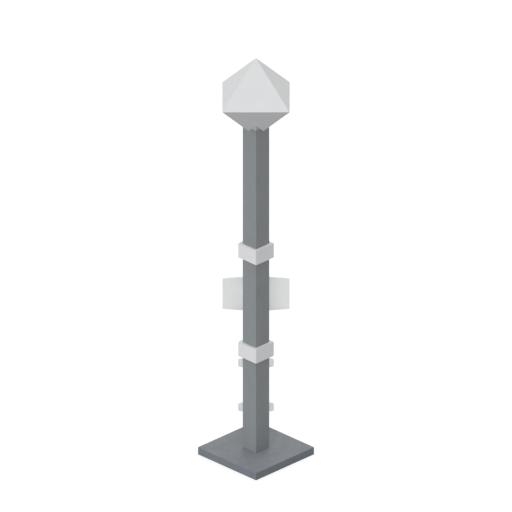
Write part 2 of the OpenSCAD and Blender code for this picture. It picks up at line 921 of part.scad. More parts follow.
module lever_pivot_pin() {
    color("silver") translate([lever_x, lever_y, lever_z]) {
        bar_x(lever_pin_d / 2, -cheek_out - 0.1 - 2 * clip_t, cheek_out + lever_head_t / 2);
        bar_x(lever_pin_d / 2 + 1, cheek_out, cheek_out + lever_head_t);
    }
}

module lever_pivot_clip() {
    color("goldenrod") translate([lever_x - cheek_out - 0.1 - clip_t, lever_y, lever_z]) difference() {
        bar_x(lever_pin_d / 2 + 1, 0, clip_t);
        bar_x(lever_pin_d / 2 + seat_gap / 2, -1, clip_t + 1);
    }
}

module balance_lever() {
    end_r = lever_slot_r + 1.6;
    color("#3a3d40") lever_frame() difference() {
        plate_yz(-lever_t / 2, lever_t) {
            circle(r = lever_hub_r);
            translate([-lever_reach, -end_r]) square([lever_reach, 2 * end_r]);
            translate([-lever_reach, 0]) circle(r = end_r);
            translate([0, -lever_h / 2]) square([lever_out, lever_h]);
        }
        bar_x(lever_pin_d / 2 + bush_wall + seat_gap, -lever_t, lever_t);
        plate_yz(-lever_t, 2 * lever_t) {
            translate([-lever_in, 0]) circle(r = lever_slot_r);
            translate([-lever_reach, 0]) circle(r = lever_slot_r);
            translate([-lever_reach, -lever_slot_r]) {
                square([lever_reach - lever_in, 2 * lever_slot_r]);
            }
        }
    }
}

module lever_bush() {
    color("goldenrod") lever_frame() difference() {
        bar_x(lever_pin_d / 2 + bush_wall, -lever_t / 2, lever_t / 2);
        bar_x(lever_pin_d / 2 + run_gap, -lever_t, lever_t);
    }
}

// Box that clears the lever's bar, from y0 along the lever
module lever_slot(y0, len) {
    translate([-lever_t / 2 - seat_gap, y0, -lever_h / 2 - seat_gap]) {
        cube([lever_t + 2 * seat_gap, len, lever_h + 2 * seat_gap]);
    }
}

module balance_weight() {
    color("#26282a") lever_frame() difference() {
        translate([0, weight_out, 0]) bar_x(weight_r, -weight_w / 2, weight_w / 2);
        lever_slot(weight_out - 2 * weight_r, 4 * weight_r);
        translate([0, weight_out, 0]) cylinder(d = grub_d + 2 * seat_gap, h = 2 * weight_r);
    }
}

module weight_grub_screw() {
    color("silver") lever_frame() translate([0, weight_out, lever_h / 2]) difference() {
        cylinder(d = grub_d, h = weight_r - lever_h / 2 - 0.5);
        translate([0, 0, weight_r - lever_h / 2 - 2]) cylinder(d = grub_d / 2, h = 3, $fn = 6);
    }
}

module lever_grip() {
    grip_start = lever_out - 7;
    color("#8c1d18") lever_frame() difference() {
        translate([0, grip_start, 0]) rotate([-90, 0, 0]) rotate_extrude() {
            square([grip_r, grip_len]);
            translate([0, grip_len]) intersection() {
                circle(r = grip_r);
                square(grip_r);
            }
        }
        lever_slot(grip_start - 1, 8 + seat_gap);
    }
}

base_plate();
post_tube();
post_top_plug();
tie_rod();
tie_nuts();
tie_washers();
neck_band();
finial_lower_shell();
finial_upper_shell();
collar_lower();
collar_upper();
collar_grub_screws();
number_board();
board_saddle();
board_screws();
saddle_screws();
rod_guide_lower();
rod_guide_upper();
guide_bushes();
pivot_bracket();
pivot_screw();
lamp_bracket();
spectacle_casting();
pivot_bush();
arm_blade();
blade_rivets();
glass_red();
glass_green();
glass_rings();
crank_pin();
crank_pin_clip();
down_rod();
rod_yoke();
rod_end();
rod_end_pin();
rod_end_clip();
stop_collars();
stop_screws();
lamp_case();
lamp_bullseye();
lamp_lens_ring();
lamp_burner();
lamp_roof();
lever_bracket();
bracket_screws();
lever_pivot_pin();
lever_pivot_clip();
balance_lever();
lever_bush();
balance_weight();
weight_grub_screw();
lever_grip();
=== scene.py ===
"""Garden-railway semaphore signal: its looks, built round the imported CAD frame.

Lengths are in metres. The driver stands on the +Y side, and the camera looks along +Y.
Places and main sizes come from the frame's nodes. The sizes named here are details that the
nodes don't hold.
"""

import math

import bmesh
import bpy
from mathutils import Matrix, Vector


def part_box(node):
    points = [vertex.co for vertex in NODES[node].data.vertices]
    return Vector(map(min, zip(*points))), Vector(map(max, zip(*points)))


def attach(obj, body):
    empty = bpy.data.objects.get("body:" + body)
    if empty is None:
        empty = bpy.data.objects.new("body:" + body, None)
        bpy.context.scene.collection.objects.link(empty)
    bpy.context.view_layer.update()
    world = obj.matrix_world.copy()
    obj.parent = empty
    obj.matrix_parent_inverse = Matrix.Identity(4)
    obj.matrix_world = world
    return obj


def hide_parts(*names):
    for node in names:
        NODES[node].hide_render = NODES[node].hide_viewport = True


MM = 0.001
ROOT2 = math.sqrt(2)
DRIVER_WAY = Vector((0, 1, 0))

# Softened edges
MERGE = 0.004 * MM
SHARP = math.radians(28)
FLAT = math.radians(0.6)

# Camera
CAMERA_ELEVATION = math.radians(26.7)
CAMERA_DISTANCE = 2.0
CAMERA_AIM = 0.2353
CAMERA_WIDTH = 0.5427
CAMERA_REACH = (0.01, 50)

# Studio: KEY_WAY and BACK_WAY point at the lamps
FLOOR_HALF = 14.0
FLOOR_DROP = 0.05 * MM
FLOOR_SHADE = (0.5, 0.5, 0.5, 1)
FLOOR_LIFT = 0.62
SKY_STRENGTH = 0.66
KEY_STRENGTH = 1.24
KEY_WAY = (-0.53, -0.72, 0.5)
BACK_STRENGTH = 0.8
BACK_WAY = (0.35, 1.0, 0.35)
LAMP_SOFTNESS = math.radians(55)

# Post and finial
POST_CORNER_R = 0.25 * MM
POST_BORE_R = 0.5 * MM
POST_LIP = 0.25 * MM
POST_WALL = 1.5 * MM
FINIAL_WALL = 2.0 * MM
FINIAL_EDGE_R = 0.3 * MM

# Fasteners: shares of the head's height or radius
HEAD_SIDES = 28
SHANK_SIDES = 20
SHOULDER_SHARE = 0.55
CROWN_SHARE = 0.72
SCREW_SLOT_SHARE = 0.3
SOCKET_SHARE = 0.52
SOCKET_DEPTH_SHARE = 0.9
HEAD_EDGE_SHARE = 0.045
HEAD_SHARP = math.radians(35)

# How high up soil splashes
SPLASH_REACH = 30 * MM

# Arm
STRIPE_FROM_TIP = 17 * MM
STRIPE_WIDTH = 11 * MM
STRIPE_SOFTNESS = 0.08 * MM
GLASS_DOME = 0.5 * MM
GLASS_RIM = 0.15 * MM
GLASS_POLE = 0.02 * MM
GLASS_RINGS = 9
GLASS_SHARP = math.radians(40)

# Lamp handle
HANDLE_INSET = 0.25 * MM
HANDLE_FOOT = 0.4 * MM
HANDLE_RISE = 3.2 * MM
HANDLE_WIRE_R = 0.38 * MM
HANDLE_STEPS = 36
HANDLE_SIDES = 12
HANDLE_SHARP = math.radians(50)

# Knurls of the stop collars, and beads of the lever's handle
KNURLS = 36
KNURL_SINK = 0.02 * MM
KNURL_MARGIN = 1.4 * MM
KNURL_WIDTH = 0.36 * MM
GRIP_BEADS = 5
BEAD_STEP = 1.5 * MM
BEADS_BEFORE_MIDDLE = 2.2
BEAD_SINK = 0.05 * MM
BEAD_R = 0.32 * MM


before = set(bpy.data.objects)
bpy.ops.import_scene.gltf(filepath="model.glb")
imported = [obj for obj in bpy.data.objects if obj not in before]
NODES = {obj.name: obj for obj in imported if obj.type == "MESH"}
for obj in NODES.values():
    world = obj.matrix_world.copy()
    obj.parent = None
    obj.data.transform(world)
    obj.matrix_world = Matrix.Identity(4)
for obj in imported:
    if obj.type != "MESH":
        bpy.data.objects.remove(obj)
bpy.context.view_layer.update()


def colour(red, green, blue):
    """A paint chip's 0 to 255 values as the linear colour that a shader takes."""
    linear = []
    for value in (red, green, blue):
        share = value / 255
        linear.append(share / 12.92 if share <= 0.04045 else ((share + 0.055) / 1.055) ** 2.4)
    return (*linear, 1.0)


# ---- shader tools


def add(tree, kind, settings=None, inputs=None):
    """Adds a node, with its settings, and its inputs linked or set."""
    made = tree.nodes.new(kind)
    for key, value in (settings or {}).items():
        setattr(made, key, value)
    for key, value in (inputs or {}).items():
        if isinstance(value, bpy.types.NodeSocket):
            tree.links.new(value, made.inputs[key])
        else:
            made.inputs[key].default_value = value
    return made


def result(tree, kind, settings=None, inputs=None):
    """Adds a node and gives its first output."""
    return add(tree, kind, settings, inputs).outputs[0]


def calc(tree, operation, first, second):
    """A Math node's result."""
    return result(tree, "ShaderNodeMath", {"operation": operation}, {0: first, 1: second})


def times(tree, first, second):
    """The product of two values."""
    return calc(tree, "MULTIPLY", first, second)


def part_of(tree, vector, way):
    """A vector's part along X, Y or Z, by number."""
    return add(tree, "ShaderNodeSeparateXYZ", None, {0: vector}).outputs[way]


def plus(tree, value, mask, amount):
    """value, changed by amount where mask is 1."""
    return calc(tree, "ADD", value, times(tree, mask, amount))


def ramp(tree, value, low, high, to_low=0.0, to_high=1.0):
    """value, spread from low..high onto to_low..to_high, and clamped."""
    inputs = {
        "Value": value,
        "From Min": low,
        "From Max": high,
        "To Min": to_low,
        "To Max": to_high,
    }
    return result(tree, "ShaderNodeMapRange", {"clamp": True}, inputs)


def blend_colours(tree, factor, first, second):
    """first where factor is 0, second where it is 1."""
    settings = {"data_type": "RGBA", "clamp_factor": True}
    return add(tree, "ShaderNodeMix", settings, {0: factor, 6: first, 7: second}).outputs[2]


def noise(tree, vector, scale, detail=2.0, roughness=0.5):
    """A noise value over the piece, with its scale in cells a metre."""
    inputs = {"Vector": vector, "Scale": scale, "Detail": detail, "Roughness": roughness}
    return result(tree, "ShaderNodeTexNoise", {"normalize": True}, inputs)


def stretched(tree, vector, scale):
    """Coordinates drawn out by a different scale along each axis."""
    settings = {"vector_type": "POINT"}
    inputs = {"Vector": vector, "Scale": scale}
    return result(tree, "ShaderNodeMapping", settings, inputs)


def effect_group(name, inputs, outputs):
    """An empty shader group with named sockets."""
    tree = bpy.data.node_groups.new(name, "ShaderNodeTree")
    for label, kind, value in inputs:
        socket = tree.interface.new_socket(name=label, in_out="INPUT", socket_type=kind)
        socket.default_value = value
    for label, kind in outputs:
        tree.interface.new_socket(name=label, in_out="OUTPUT", socket_type=kind)
    given = tree.nodes.new("NodeGroupInput")
    made = tree.nodes.new("NodeGroupOutput")
    return tree, given.outputs, made.inputs


VECTOR = "NodeSocketVector"
FLOAT = "NodeSocketFloat"


def paint_skin_group():
    """Orange peel of a sprayed coat, and the slow change of its shade and gloss."""
    inputs = [
        ("Vector", VECTOR, (0, 0, 0)),
        ("Peel size", FLOAT, 0.7 * MM),
        ("Mottle size", FLOAT, 16 * MM),
    ]
    tree, given, made = effect_group("Paint skin", inputs, [("Height", FLOAT), ("Mottle", FLOAT)])
    peel_scale = calc(tree, "DIVIDE", 1.0, given["Peel size"])
    peel = noise(tree, given["Vector"], peel_scale, 2.0, 0.45)
    run_scale = calc(tree, "DIVIDE", 0.22, given["Peel size"])
    run = noise(tree, given["Vector"], run_scale, 1.0, 0.4)
    height = plus(tree, times(tree, run, 0.6), peel, 0.4)
    mottle_scale = calc(tree, "DIVIDE", 1.0, given["Mottle size"])
    slow = noise(tree, given["Vector"], mottle_scale, 3.0, 0.55)
    tree.links.new(height, made["Height"])
    tree.links.new(ramp(tree, slow, 0.32, 0.68), made["Mottle"])
    return tree


def edge_rub_group():
    """Where handling has rubbed the coat off the edges."""
    inputs = [
        ("Vector", VECTOR, (0, 0, 0)),
        ("Edge", FLOAT, 0.0),
        ("Amount", FLOAT, 0.4),
        ("Chip size", FLOAT, 2.2 * MM),
    ]
    tree, given, made = effect_group("Edge rub", inputs, [("Mask", FLOAT)])
    chip_scale = calc(tree, "DIVIDE", 1.0, given["Chip size"])
    chips = noise(tree, given["Vector"], chip_scale, 4.0, 0.65)
    line = calc(tree, "SUBTRACT", 0.78, times(tree, given["Amount"], 0.5))
    over = calc(tree, "SUBTRACT", chips, line)
    mask = ramp(tree, over, 0.0, 0.05)
    tree.links.new(times(tree, mask, given["Edge"]), made["Mask"])
    return tree


COVER = [("Vector", VECTOR, (0, 0, 0)), ("Normal", VECTOR, (0, 0, 1)), ("Amount", FLOAT, 0.3)]


def cover_group(name, mask_for):
    """A group that masks what lies on a surface, by its place and how far it faces up."""
    tree, given, made = effect_group(name, COVER, [("Mask", FLOAT)])
    up = part_of(tree, given["Normal"], 2)
    mask = mask_for(tree, given["Vector"], up)
    tree.links.new(times(tree, mask, given["Amount"]), made["Mask"])
    return tree


def settled_dust(tree, where, up):
    """Fine dust that lies on what faces up."""
    facing = ramp(tree, up, 0.35, 0.95)
    patchy = ramp(tree, noise(tree, where, 90.0, 5.0, 0.6), 0.3, 0.75, 0.35, 1.0)
    return times(tree, facing, patchy)


def rain_streaks(tree, where, up):
    """Faint runs down the upright faces, from standing outdoors."""
    tilt = result(tree, "ShaderNodeMath", {"operation": "ABSOLUTE"}, {0: up})
    upright = ramp(tree, tilt, 0.2, 0.8, 1.0, 0.0)
    drawn = stretched(tree, where, (1.0, 1.0, 0.05))
    runs = ramp(tree, noise(tree, drawn, 330.0, 3.0, 0.6), 0.5, 0.78)
    patchy = ramp(tree, noise(tree, where, 22.0, 2.0, 0.5), 0.35, 0.65)
    return times(tree, times(tree, runs, patchy), upright)


def underside_painted_shade(tree, where, up):
    """Patchy painted shade that darkens what faces down."""
    facing = ramp(tree, up, -0.6, -0.25, 1.0, 0.0)
    patchy = ramp(tree, noise(tree, where, 45.0, 4.0, 0.55), 0.25, 0.75, 0.85, 1.0)
    return times(tree, facing, patchy)


def foot_splash(tree, where, _up):
    """Soil that rain splashes onto the lowest part of the signal."""
    high = calc(tree, "DIVIDE", part_of(tree, where, 2), SPLASH_REACH)
    low_down = ramp(tree, calc(tree, "SUBTRACT", 1.0, high), 0.0, 1.0)
    spots = ramp(tree, noise(tree, where, 420.0, 4.0, 0.65), 0.42, 0.7)
    return times(tree, low_down, spots)


def metal_grain_group():
    """Drawn or turned grain, and the dull film that forms on bare metal."""
    inputs = [("Vector", VECTOR, (0, 0, 0)), ("Draw", VECTOR, (1, 1, 0.04))]
    outputs = [("Height", FLOAT), ("Grain", FLOAT), ("Film", FLOAT)]
    tree, given, made = effect_group("Metal grain", inputs, outputs)
    ways = {0: given["Vector"], 1: given["Draw"]}
    drawn = result(tree, "ShaderNodeVectorMath", {"operation": "MULTIPLY"}, ways)
    grain = noise(tree, drawn, 5200.0, 2.0, 0.6)
    film = ramp(tree, noise(tree, given["Vector"], 240.0, 4.0, 0.6), 0.4, 0.72)
    tree.links.new(grain, made["Height"])
    tree.links.new(ramp(tree, grain, 0.3, 0.7), made["Grain"])
    tree.links.new(film, made["Film"])
    return tree


def cast_grain_group():
    """The sand-cast skin under black paint."""
    inputs = [("Vector", VECTOR, (0, 0, 0)), ("Sand size", FLOAT, 0.5 * MM)]
    tree, given, made = effect_group("Cast grain", inputs, [("Height", FLOAT), ("Hollow", FLOAT)])
    sand_scale = calc(tree, "DIVIDE", 1.0, given["Sand size"])
    sand = {"Vector": given["Vector"], "Scale": sand_scale, "Smoothness": 0.8}
    cells = result(tree, "ShaderNodeTexVoronoi", {"feature": "SMOOTH_F1"}, sand)
    lumps = noise(tree, given["Vector"], times(tree, sand_scale, 0.35), 4.0, 0.6)
    height = calc(tree, "ADD", times(tree, cells, 0.5), lumps)
    tree.links.new(height, made["Height"])
    tree.links.new(ramp(tree, lumps, 0.3, 0.5, 1.0, 0.0), made["Hollow"])
    return tree


EFFECTS = {
    "skin": paint_skin_group(),
    "rub": edge_rub_group(),
    "dust": cover_group("Settled dust", settled_dust),
    "streaks": cover_group("Rain streaks", rain_streaks),
    "splash": cover_group("Foot splash", foot_splash),
    # painted shade on faces that point down
    "underside_shade": cover_group("Underside painted shade", underside_painted_shade),
    "grain": metal_grain_group(),
    "cast": cast_grain_group(),
}


def place(tree, effect, inputs):
    """Puts an effect's group in a material, with this material's own values."""
    made = add(tree, "ShaderNodeGroup", {"node_tree": EFFECTS[effect]}, inputs)
    return made.outputs


def blank_material(name):
    """A material with no nodes, and its tree."""
    material = bpy.data.materials.new(name)
    material.use_nodes = True
    material.node_tree.nodes.clear()
    return material, material.node_tree


def empty_material(name):
    """A material with only its shader, and the coordinates that every finish reads."""
    material, tree = blank_material(name)
    output = tree.nodes.new("ShaderNodeOutputMaterial")
    shader = tree.nodes.new("ShaderNodeBsdfPrincipled")
    tree.links.new(shader.outputs[0], output.inputs[0])
    space = tree.nodes.new("ShaderNodeTexCoord")
    return material, tree, shader, space.outputs


def edge_attribute(tree):
    """1 on a piece's softened edges and 0 elsewhere."""
    settings = {"attribute_type": "GEOMETRY", "attribute_name": "edge_rub"}
    return add(tree, "ShaderNodeAttribute", settings).outputs["Fac"]


def bump_from(tree, height, strength, distance):
    """The normal that a height gives."""
    inputs = {"Height": height, "Strength": strength, "Distance": distance}
    return result(tree, "ShaderNodeBump", None, inputs)


def covered(tree, space, shade, effect, over, amount):
    """shade with over laid on it where an effect's mask says, and that mask."""
    inputs = {"Vector": space["Object"], "Amount": amount}
    if effect == "rub":
        inputs["Edge"] = edge_attribute(tree)
    else:
        inputs["Normal"] = space["Normal"]
    mask = place(tree, effect, inputs)["Mask"]
    return blend_colours(tree, mask, shade, over), mask


def feed(tree, shader, shade, rough, height, strength, distance):
    """Links a finish's colour, roughness and relief to its shader."""
    tree.links.new(shade, shader.inputs["Base Color"])
    tree.links.new(rough, shader.inputs["Roughness"])
    tree.links.new(bump_from(tree, height, strength, distance), shader.inputs["Normal"])


def either_side(tree, mask, middle, change):
    """A value that runs from change under middle to change over it."""
    return ramp(tree, mask, 0.0, 1.0, middle - change, middle + change)


DUST = colour(196, 190, 178)
SOIL = colour(104, 96, 84)
# Painted shade colour for faces that point down
UNDERSIDE_SHADE_COLOUR = colour(96, 97, 98)
PRIMER = colour(150, 146, 140)
CASTING_PIT = colour(14, 14, 15)
BARE_IRON = colour(132, 130, 126)
ENAMEL_GROUND = colour(46, 40, 38)
BARE_WOOD = colour(168, 128, 92)
ENAMEL_RED = (colour(176, 28, 24), colour(160, 25, 23))
ENAMEL_WHITE = (colour(232, 231, 226), colour(223, 222, 215))
ENAMEL_BLACK = colour(26, 26, 28)
HANDLE_RED = (colour(146, 34, 28), colour(112, 24, 21))


def sprayed_paint(name, top, dull, finish):
    """A sprayed coat over primer. top and dull are its two shades.

    finish holds rough, peel, rub, dust, streaks, splash, the amount of painted shade on down-facing
    faces, gloss_change and specular.
    """
    material, tree, shader, space = empty_material(name)
    skin = place(tree, "skin", {"Vector": space["Object"], "Peel size": finish["peel"]})
    shade = blend_colours(tree, skin["Mottle"], top, dull)
    # Streaks and splash lay soil; the third pass darkens down-facing faces with painted shade.
    for effect, over in (("streaks", SOIL), ("splash", SOIL), ("underside_shade", UNDERSIDE_SHADE_COLOUR)):
        shade, _ = covered(tree, space, shade, effect, over, finish[effect])
    shade, dusty = covered(tree, space, shade, "dust", DUST, finish["dust"])
    shade, rubbed = covered(tree, space, shade, "rub", PRIMER, finish["rub"])
    rough = either_side(tree, skin["Mottle"], finish["rough"], finish["gloss_change"])
    rough = plus(tree, plus(tree, rough, dusty, 0.25), rubbed, -0.12)
    height = plus(tree, skin["Height"], rubbed, -0.7)
    feed(tree, shader, shade, rough, height, 0.5, 0.05 * MM)
    shader.inputs["Specular IOR Level"].default_value = finish["specular"]
    return material


def cast_iron_paint(name, top, dull, rub_amount, rough):
    """Black paint over a sand-cast or forged piece."""
    material, tree, shader, space = empty_material(name)
    where = space["Object"]
    cast = place(tree, "cast", {"Vector": where})
    skin = place(tree, "skin", {"Vector": where, "Peel size": 0.5 * MM, "Mottle size": 7 * MM})
    shade = blend_colours(tree, skin["Mottle"], top, dull)
    pit = times(tree, cast["Hollow"], 0.5)
    shade = blend_colours(tree, pit, shade, CASTING_PIT)
    shade, dusty = covered(tree, space, shade, "dust", DUST, 0.28)
    shade, _ = covered(tree, space, shade, "rub", BARE_IRON, rub_amount)
    gloss = plus(tree, either_side(tree, skin["Mottle"], rough, 0.07), dusty, 0.3)
    feed(tree, shader, shade, gloss, cast["Height"], 0.4, 0.06 * MM)
    return material


def bare_metal(name, bright, filmed, draw, rough):
    """Drawn or turned metal: bright where it is clean, and duller where a film has formed."""
    material, tree, shader, space = empty_material(name)
    grain = place(tree, "grain", {"Vector": space["Object"], "Draw": draw})
    shade = blend_colours(tree, grain["Film"], bright, filmed)
    darker = tuple(0.8 * value for value in bright[:3]) + (1.0,)
    fine = times(tree, grain["Grain"], 0.35)
    shade = blend_colours(tree, fine, shade, darker)
    gloss = ramp(tree, grain["Film"], 0.0, 1.0, rough, rough + 0.22)
    gloss = plus(tree, gloss, grain["Grain"], 0.08)
    feed(tree, shader, shade, gloss, grain["Height"], 0.25, 0.02 * MM)
    shader.inputs["Metallic"].default_value = 1.0
    return material


def arm_enamel(name):
    """Vitreous enamel: red with a white stripe to the driver, white with a black stripe behind."""
    material, tree, shader, space = empty_material(name)
    low, _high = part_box("arm_blade")
    stripe_low = low.z + STRIPE_FROM_TIP
    stripe_high = stripe_low + STRIPE_WIDTH
    where = space["Object"]
    place_z = part_of(tree, where, 2)
    faces = part_of(tree, space["Normal"], 1)
    soft = STRIPE_SOFTNESS
    above = ramp(tree, place_z, stripe_low - soft, stripe_low + soft)
    below = ramp(tree, place_z, stripe_high - soft, stripe_high + soft, 1.0, 0.0)
    stripe = times(tree, above, below)
    skin = place(tree, "skin", {"Vector": where, "Peel size": 1.1 * MM, "Mottle size": 20 * MM})
    red = blend_colours(tree, skin["Mottle"], *ENAMEL_RED)
    white = blend_colours(tree, skin["Mottle"], *ENAMEL_WHITE)
    front = blend_colours(tree, stripe, red, white)
    back = blend_colours(tree, stripe, white, ENAMEL_BLACK)
    is_back = ramp(tree, faces, -0.6, -0.4, 1.0, 0.0)
    shade = blend_colours(tree, is_back, front, back)
    shade, _ = covered(tree, space, shade, "streaks", SOIL, 0.22)
    shade, rubbed = covered(tree, space, shade, "rub", ENAMEL_GROUND, 0.5)
    gloss = plus(tree, ramp(tree, skin["Mottle"], 0.0, 1.0, 0.16, 0.26), rubbed, 0.4)
    height = plus(tree, skin["Height"], rubbed, -1.0)
    feed(tree, shader, shade, gloss, height, 0.3, 0.06 * MM)
    shader.inputs["Coat Weight"].default_value = 0.5
    shader.inputs["Coat Roughness"].default_value = 0.08
    return material


def signal_glass(name, tint, deep, rough):
    """Pressed glass: its tint varies a little, and its face has a faint ripple."""
    material, tree, shader, space = empty_material(name)
    skin = place(tree, "skin", {"Vector": space["Object"], "Peel size": 1.4 * MM})
    shade = blend_colours(tree, skin["Mottle"], tint, deep)
    gloss = ramp(tree, skin["Mottle"], 0.0, 1.0, rough, rough + 0.05)
    feed(tree, shader, shade, gloss, skin["Height"], 0.2, 0.05 * MM)
    shader.inputs["Transmission Weight"].default_value = 0.85
    shader.inputs["IOR"].default_value = 1.5
    return material


def turned_handle(name):
    """Red-lacquered turned handle, with a faint ring grain along it."""
    material, tree, shader, space = empty_material(name)
    drawn = stretched(tree, space["Object"], (0.25, 1.0, 0.5))
    rings = ramp(tree, noise(tree, drawn, 1500.0, 3.0, 0.6), 0.35, 0.7)
    shade = blend_colours(tree, rings, *HANDLE_RED)
    shade, _ = covered(tree, space, shade, "dust", DUST, 0.15)
    shade, _ = covered(tree, space, shade, "rub", BARE_WOOD, 0.55)
    gloss = ramp(tree, rings, 0.0, 1.0, 0.3, 0.42)
    feed(tree, shader, shade, gloss, rings, 0.2, 0.03 * MM)
    shader.inputs["Coat Weight"].default_value = 0.3
    return material


WHITE_FINISH = {
    "rough": 0.62,
    "peel": 0.7 * MM,
    "rub": 0.12,
    "dust": 0.05,
    "streaks": 0.05,
    "splash": 0.0,
    # painted shade on down-facing faces, also in the post and base finishes
    "underside_shade": 0.27,
    "gloss_change": 0.05,
    "specular": 0.3,
}
POST_FINISH = {
    **WHITE_FINISH,
    "rough": 0.5,
    "rub": 0.3,
    "dust": 0.12,
    "streaks": 0.16,
    "splash": 0.3,
    "specular": 0.2,
}
BASE_FINISH = {**POST_FINISH, "rough": 0.55, "rub": 0.42, "dust": 0.14, "splash": 0.24}

PAINTS = [
    # finish, name, its two shades, wear
    ("white_paint", "White signal paint", (225, 226, 227), (222, 223, 224), WHITE_FINISH),
    # The board and guides get a lighter copy of the white paint: painted light where the post shades
    # them.
    ("white_painted_light", "White paint with painted light", (242, 243, 243), (239, 240, 240), WHITE_FINISH),
    # The neck gets a darker copy of the white paint: painted shade under the finial.
    ("neck_paint", "Neck paint with painted shade", (176, 177, 178), (168, 169, 170), WHITE_FINISH),
    ("post_paint", "Grey post paint", (140, 145, 149), (136, 141, 144), POST_FINISH),
    ("base_paint", "Slate base paint", (126, 132, 141), (121, 127, 136), BASE_FINISH),
]
CASTINGS = [
    # finish, name, its two shades, how far its edges are rubbed, roughness
    ("black_paint", "Black ironwork paint", (38, 39, 41), (30, 31, 33), 0.45, 0.42),
    ("weight_iron", "Black cast weight", (42, 42, 43), (33, 33, 34), 0.6, 0.55),
    ("lamp_paint", "Black lamp lacquer", (30, 31, 33), (24, 25, 27), 0.35, 0.3),
]
METALS = [
    # finish, name, clean and filmed shade, how its grain is drawn out, roughness
    ("steel", "Bright steel", (196, 197, 199), (158, 158, 158), (1, 1, 0.05), 0.24),
    ("brass", "Turned brass", (212, 174, 98), (152, 116, 66), (1, 1, 0.3), 0.26),
]
GLASSES = [
    # finish, name, its two tints, roughness
    ("red_glass", "Red spectacle glass", (206, 22, 20), (178, 14, 14), 0.05),
    ("green_glass", "Green spectacle glass", (16, 156, 98), (10, 128, 82), 0.05),
    ("clear_glass", "Clear lamp glass", (240, 238, 228), (226, 226, 216), 0.04),
]
KINDS = (
    (sprayed_paint, PAINTS),
    (cast_iron_paint, CASTINGS),
    (bare_metal, METALS),
    (signal_glass, GLASSES),
)

FINISHES = {
    "arm_enamel": arm_enamel("Arm enamel"),
    "grip_plastic": turned_handle("Red handle lacquer"),
}
for make, rows in KINDS:
    for slot, name, first, second, *rest in rows:
        FINISHES[slot] = make(name, colour(*first), colour(*second), *rest)


# ---- mesh tools


def piece_of(name, mesh):
    """A mesh as a named piece, standing at the origin."""
    mesh.name = name
    piece = bpy.data.objects.new(name, mesh)
    bpy.context.scene.collection.objects.link(piece)
    return piece


def mesh_of(name, vertices, faces):
    """A mesh from its corners and faces, with its normals turned outwards."""
    mesh = bpy.data.meshes.new(name)
    mesh.from_pydata(vertices, [], faces)
    shape = bmesh.new()
    shape.from_mesh(mesh)
    bmesh.ops.remove_doubles(shape, verts=shape.verts, dist=MERGE / 4)
    bmesh.ops.recalc_face_normals(shape, faces=shape.faces)
    shape.to_mesh(mesh)
    shape.free()
    return mesh


def settle(piece):
    """Makes what a piece's modifiers give its plain mesh, and takes the modifiers off."""
    graph = bpy.context.evaluated_depsgraph_get()
    made = bpy.data.meshes.new_from_object(
        piece.evaluated_get(graph), preserve_all_data_layers=True, depsgraph=graph
    )
    piece.modifiers.clear()
    piece.data = made
    made.name = piece.name
    return piece


def mark_softened(piece):
    """Turns the bevel's material index into the edge_rub attribute."""
    mesh = piece.data
    marks = [float(face.material_index == 1) for face in mesh.polygons]
    attribute = mesh.attributes.new("edge_rub", "FLOAT", "FACE")
    attribute.data.foreach_set("value", marks)
    mesh.polygons.foreach_set("material_index", [0] * len(marks))
    mesh.materials.clear()


def soften(piece, width, segments=2, angle=SHARP):
    """Rounds a piece's sharp edges, keeps its flat faces flat, and marks the rounded strips."""
    mesh = piece.data
    while len(mesh.materials) < 2:
        mesh.materials.append(None)
    bevel = piece.modifiers.new("Rounded edges", "BEVEL")
    bevel.width = width
    bevel.segments = segments
    bevel.limit_method = "ANGLE"
    bevel.angle_limit = angle
    bevel.miter_outer = "MITER_SHARP"
    bevel.use_clamp_overlap = True
    bevel.material = 1
    normals = piece.modifiers.new("Flat faces stay flat", "WEIGHTED_NORMAL")
    normals.keep_sharp = True
    settle(piece)
    mark_softened(piece)
    return piece


def merged_copy(node):
    """A bmesh of a CAD node with its loose triangles joined into whole faces."""
    shape = bmesh.new()
    shape.from_mesh(NODES[node].data)
    bmesh.ops.remove_doubles(shape, verts=shape.verts, dist=MERGE)
    bmesh.ops.dissolve_degenerate(shape, dist=MERGE / 4, edges=shape.edges)
    bmesh.ops.dissolve_limit(
        shape, angle_limit=FLAT, verts=shape.verts, edges=shape.edges, delimit={"NORMAL"}
    )
    loose = [edge for edge in shape.edges if not edge.link_faces]
    bmesh.ops.delete(shape, geom=loose, context="EDGES")
    return shape


def ready(piece, body, slot, *nodes, finish=None):
    """Gives a finished piece its paint, its body and any CAD nodes that it stands for."""
    piece.data.materials.clear()
    piece.data.materials.append(FINISHES[finish or slot])
    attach(piece, body)
    if nodes:
        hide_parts(*nodes)
    return piece


def softened_node(node, name, body, slot, width):
    """A CAD node as a piece with real rounded edges."""
    shape = merged_copy(node)
    mesh = bpy.data.meshes.new(name)
    shape.to_mesh(mesh)
    shape.free()
    if "custom_normal" in mesh.attributes:
        mesh.attributes.remove(mesh.attributes["custom_normal"])
    mesh.shade_smooth()
    piece = piece_of(name, mesh)
    soften(piece, width, 3 if name in FINE_EDGES else 2)
    return ready(piece, body, slot, node, finish=OWN_FINISH.get(name))


def islands(node):
    """The corners of each separate solid of a CAD node."""
    shape = merged_copy(node)
    found = []
    seen = set()
    for start in shape.verts:
        if start.index in seen:
            continue
        group = []
        waiting = [start]
        seen.add(start.index)
        while waiting:
            corner = waiting.pop()
            group.append(corner.co.copy())
            for edge in corner.link_edges:
                other = edge.other_vert(corner)
                if other.index not in seen:
                    seen.add(other.index)
                    waiting.append(other)
        found.append(group)
    shape.free()
    return found


def across(axis):
    """Two directions square to axis and to each other."""
    side = axis.orthogonal().normalized()
    return side, axis.cross(side).normalized()


